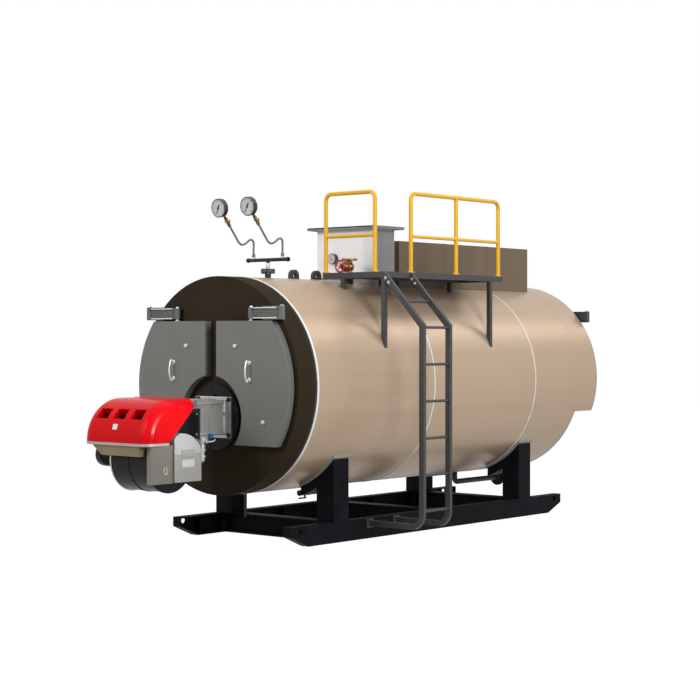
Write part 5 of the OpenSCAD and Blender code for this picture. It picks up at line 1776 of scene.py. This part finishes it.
@dataclass
class Smokebox:
    """Tube ends behind the front doors and the rope seals round the openings."""

    axis_z: float = 1.52
    burner_z: float = 1.224
    tube_r: float = 0.031
    tube_wall: float = 0.005
    pitch: float = 0.092
    bank_r: float = 0.930
    throat_keep: float = 0.330
    lowest: float = 1.000
    rope_r: float = 0.0023
    seal_in: float = 0.028
    door_r: float = 0.995
    cutout_r: float = 0.400
    half_gap: float = 0.072

    def build(self) -> None:
        """Adds the tube ends, black discs of painted shade in their bores, and the seals."""
        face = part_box("tube_plate")[0][1]
        spots = self._bank(face)
        Repeat(Motif.TUBE_END, self.tube_r, self.tube_wall).place("tube_ends", spots, TUBE_SOOT)
        # Painted shade: flat black discs in the tube ends stand for the shade down the tubes.
        Repeat(Motif.RIVET, self.tube_r, 0.0012).place("tube_bore_shade", spots, INK_AND_SHADE_BLACK)
        for side in Side:
            self._seal(side)

    def _bank(self, face: float) -> list[Spot]:
        """Lays the tubes out in staggered rows round the furnace.

        Args:
            face: where the tube plate's face is.

        Returns:
            The tubes' spots.
        """
        spots = []
        row_h = self.pitch * math.sqrt(3.0) / 2.0
        for row in range(-8, 9):
            for column in range(-11, 12):
                x = (column + 0.5 * (row % 2)) * self.pitch
                z = self.axis_z + row * row_h
                in_plate = math.hypot(x, z - self.axis_z) < self.bank_r - self.tube_r
                if in_plate and z > self.lowest and math.hypot(x, z - self.burner_z) > self.throat_keep:
                    spots.append(((x, face - 0.0005, z), TO_FRONT, 0.0))
        return spots

    def _seal(self, side: Side) -> None:
        """Adds the rope seal round one door's opening.

        Args:
            side: which door.
        """
        low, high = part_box(side.word + "_door")
        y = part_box("front_plate")[0][1] - self.rope_r
        outer = self.door_r - self.seal_in
        top = high[2] - self.seal_in
        bottom = low[2] + self.seal_in
        inner = self.half_gap + self.seal_in
        keep = self.cutout_r + self.seal_in
        path = arc((0.0, self.axis_z), outer, math.degrees(math.asin((bottom - self.axis_z) / outer)),
                   math.degrees(math.asin((top - self.axis_z) / outer)), 28)
        path.append((inner, top))
        path += arc((0.0, self.burner_z), keep, math.degrees(math.acos(inner / keep)),
                    math.degrees(math.asin((bottom - self.burner_z) / keep)), 24)
        kit = Sketch().tube([(side.value * u, y, v) for u, v in path], self.rope_r, 8, True)
        kit.place(side.word + "_door_seal", LINING_PALE)


@dataclass(frozen=True)
class Lamp:
    """One soft lamp of the studio, aimed at a point or leaned about its length."""

    name: str
    place: Point
    size: tuple[float, float]
    power: float
    aim: Point = (0.0, 0.0, 1.5)
    lean: Optional[float] = None
    spread: float = 180.0

    def hang(self) -> None:
        """Adds the lamp to the scene."""
        lamp = bpy.data.lights.new(self.name, "AREA")
        lamp.shape = "RECTANGLE"
        lamp.size, lamp.size_y = self.size
        lamp.energy = self.power
        lamp.spread = math.radians(self.spread)
        holder = bpy.data.objects.new(self.name, lamp)
        holder.location = self.place
        if self.lean is None:
            aim = Vector(self.aim) - Vector(self.place)
            holder.rotation_euler = aim.to_track_quat("-Z", "Y").to_euler()
        else:
            holder.rotation_euler = (0.0, math.radians(self.lean), 0.0)
        bpy.context.scene.collection.objects.link(holder)


@dataclass
class Studio:
    """Pale floor, soft light and the camera at the photograph's place."""

    camera_place: Point = (11.60, -14.32, 2.006)
    azimuth: float = 40.0
    pitch: float = -0.497
    lens: float = 88.87
    clip_end: float = 500.0
    floor_half: float = 60.0
    floor_tone: float = 0.35
    floor_glow: float = 1.39
    floor_share: float = 0.70
    lamps: tuple[Lamp, ...] = (
        Lamp("key_lamp", (-3.0, -13.0, 8.0), (5.0, 5.0), 830.0),
        Lamp("side_lamp", (11.0, -3.0, 6.0), (5.0, 5.0), 800.0),
        Lamp("crown_lamp", (1.0, 1.0, 11.0), (8.0, 8.0), 140.0),
        Lamp("strip_lamp", (4.8, 9.2, 8.6), (3.0, 11.0), 250.0, lean=31.6),
        Lamp("burner_lamp", (3.4, -3.50, 1.75), (0.5, 0.5), 1.2, aim=(0.40, -3.46, 1.32), spread=22.0),
    )
    world_level: float = 0.32

    def build(self) -> None:
        """Makes the floor, the world, the lamps and the camera."""
        self._world()
        self._floor()
        for lamp in self.lamps:
            lamp.hang()
        self._camera()

    def _world(self) -> None:
        """White behind the object, with a dimmer even light for what falls on it."""
        world = bpy.data.worlds.new("studio_world")
        bpy.context.scene.world = world
        world.use_nodes = True
        tree = world.node_tree
        tree.nodes.clear()
        colour = (1.0, 1.0, 1.0, 1.0)
        light = add_node(tree, "ShaderNodeBackground", {"Color": colour, "Strength": self.world_level})
        white = add_node(tree, "ShaderNodeBackground", {"Color": colour})
        mix = add_node(tree, "ShaderNodeMixShader",
                       {"Fac": seen_directly(tree), 1: light.outputs[0], 2: white.outputs[0]})
        add_node(tree, "ShaderNodeOutputWorld", {"Surface": mix.outputs[0]})

    def _floor(self) -> None:
        """A wide pale floor that keeps the object's shadow."""
        size = self.floor_half
        mesh = bpy.data.meshes.new("floor")
        mesh.from_pydata([(-size, -size, 0), (size, -size, 0), (size, size, 0), (-size, size, 0)], [],
                         [(0, 1, 2, 3)])
        floor = bpy.data.objects.new("floor", mesh)
        bpy.context.scene.collection.objects.link(floor)
        paint = bpy.data.materials.new("floor_paint")
        paint.use_nodes = True
        tree = paint.node_tree
        tree.nodes.clear()
        tone = (self.floor_tone, self.floor_tone, self.floor_tone, 1.0)
        matt = add_node(tree, "ShaderNodeBsdfDiffuse", {"Color": tone})
        glow = add_node(tree, "ShaderNodeEmission", {"Strength": self.floor_glow})
        share = add_node(tree, "ShaderNodeMath", {0: seen_directly(tree), 1: self.floor_share},
                         operation="MULTIPLY")
        mix = add_node(tree, "ShaderNodeMixShader",
                       {"Fac": share.outputs[0], 1: matt.outputs[0], 2: glow.outputs[0]})
        add_node(tree, "ShaderNodeOutputMaterial", {"Surface": mix.outputs[0]})
        mesh.materials.append(paint)

    def _camera(self) -> None:
        """Puts the camera where the photograph was taken from."""
        data = bpy.data.cameras.new("photo_camera")
        data.lens = self.lens
        data.clip_end = self.clip_end
        camera = bpy.data.objects.new("photo_camera", data)
        camera.location = self.camera_place
        camera.rotation_euler = (math.radians(90.0 + self.pitch), 0.0, math.radians(self.azimuth))
        bpy.context.scene.collection.objects.link(camera)
        bpy.context.scene.camera = camera


def seen_directly(tree: bpy.types.NodeTree) -> bpy.types.NodeSocket:
    """Tells camera, mirror and glass rays from the light that falls on things.

    Args:
        tree: the node tree to add to.

    Returns:
        A socket that is 1 for rays that look at the surface.
    """
    path = add_node(tree, "ShaderNodeLightPath")
    total = path.outputs["Is Camera Ray"]
    for name in ("Is Glossy Ray", "Is Transmission Ray"):
        larger = {0: total, 1: path.outputs[name]}
        total = add_node(tree, "ShaderNodeMath", larger, operation="MAXIMUM").outputs[0]
    return total


def main() -> None:
    """Builds the studio, dresses the nodes and adds the fittings."""
    logging.basicConfig(level=logging.INFO, format="%(message)s")
    bpy.context.scene.view_settings.view_transform = "Standard"
    Studio().build()
    dress_nodes()
    soften_edges()
    for side in Side:
        DoorLeaf(side).build()
    Burner().build()
    Gauges().build()
    SteamOutlet().build()
    Platform().build()
    WaterTank().build()
    FlueCasing().build()
    RearEnd().build()
    SkidFrame().build()
    Smokebox().build()


if __name__ == "__main__":
    main()
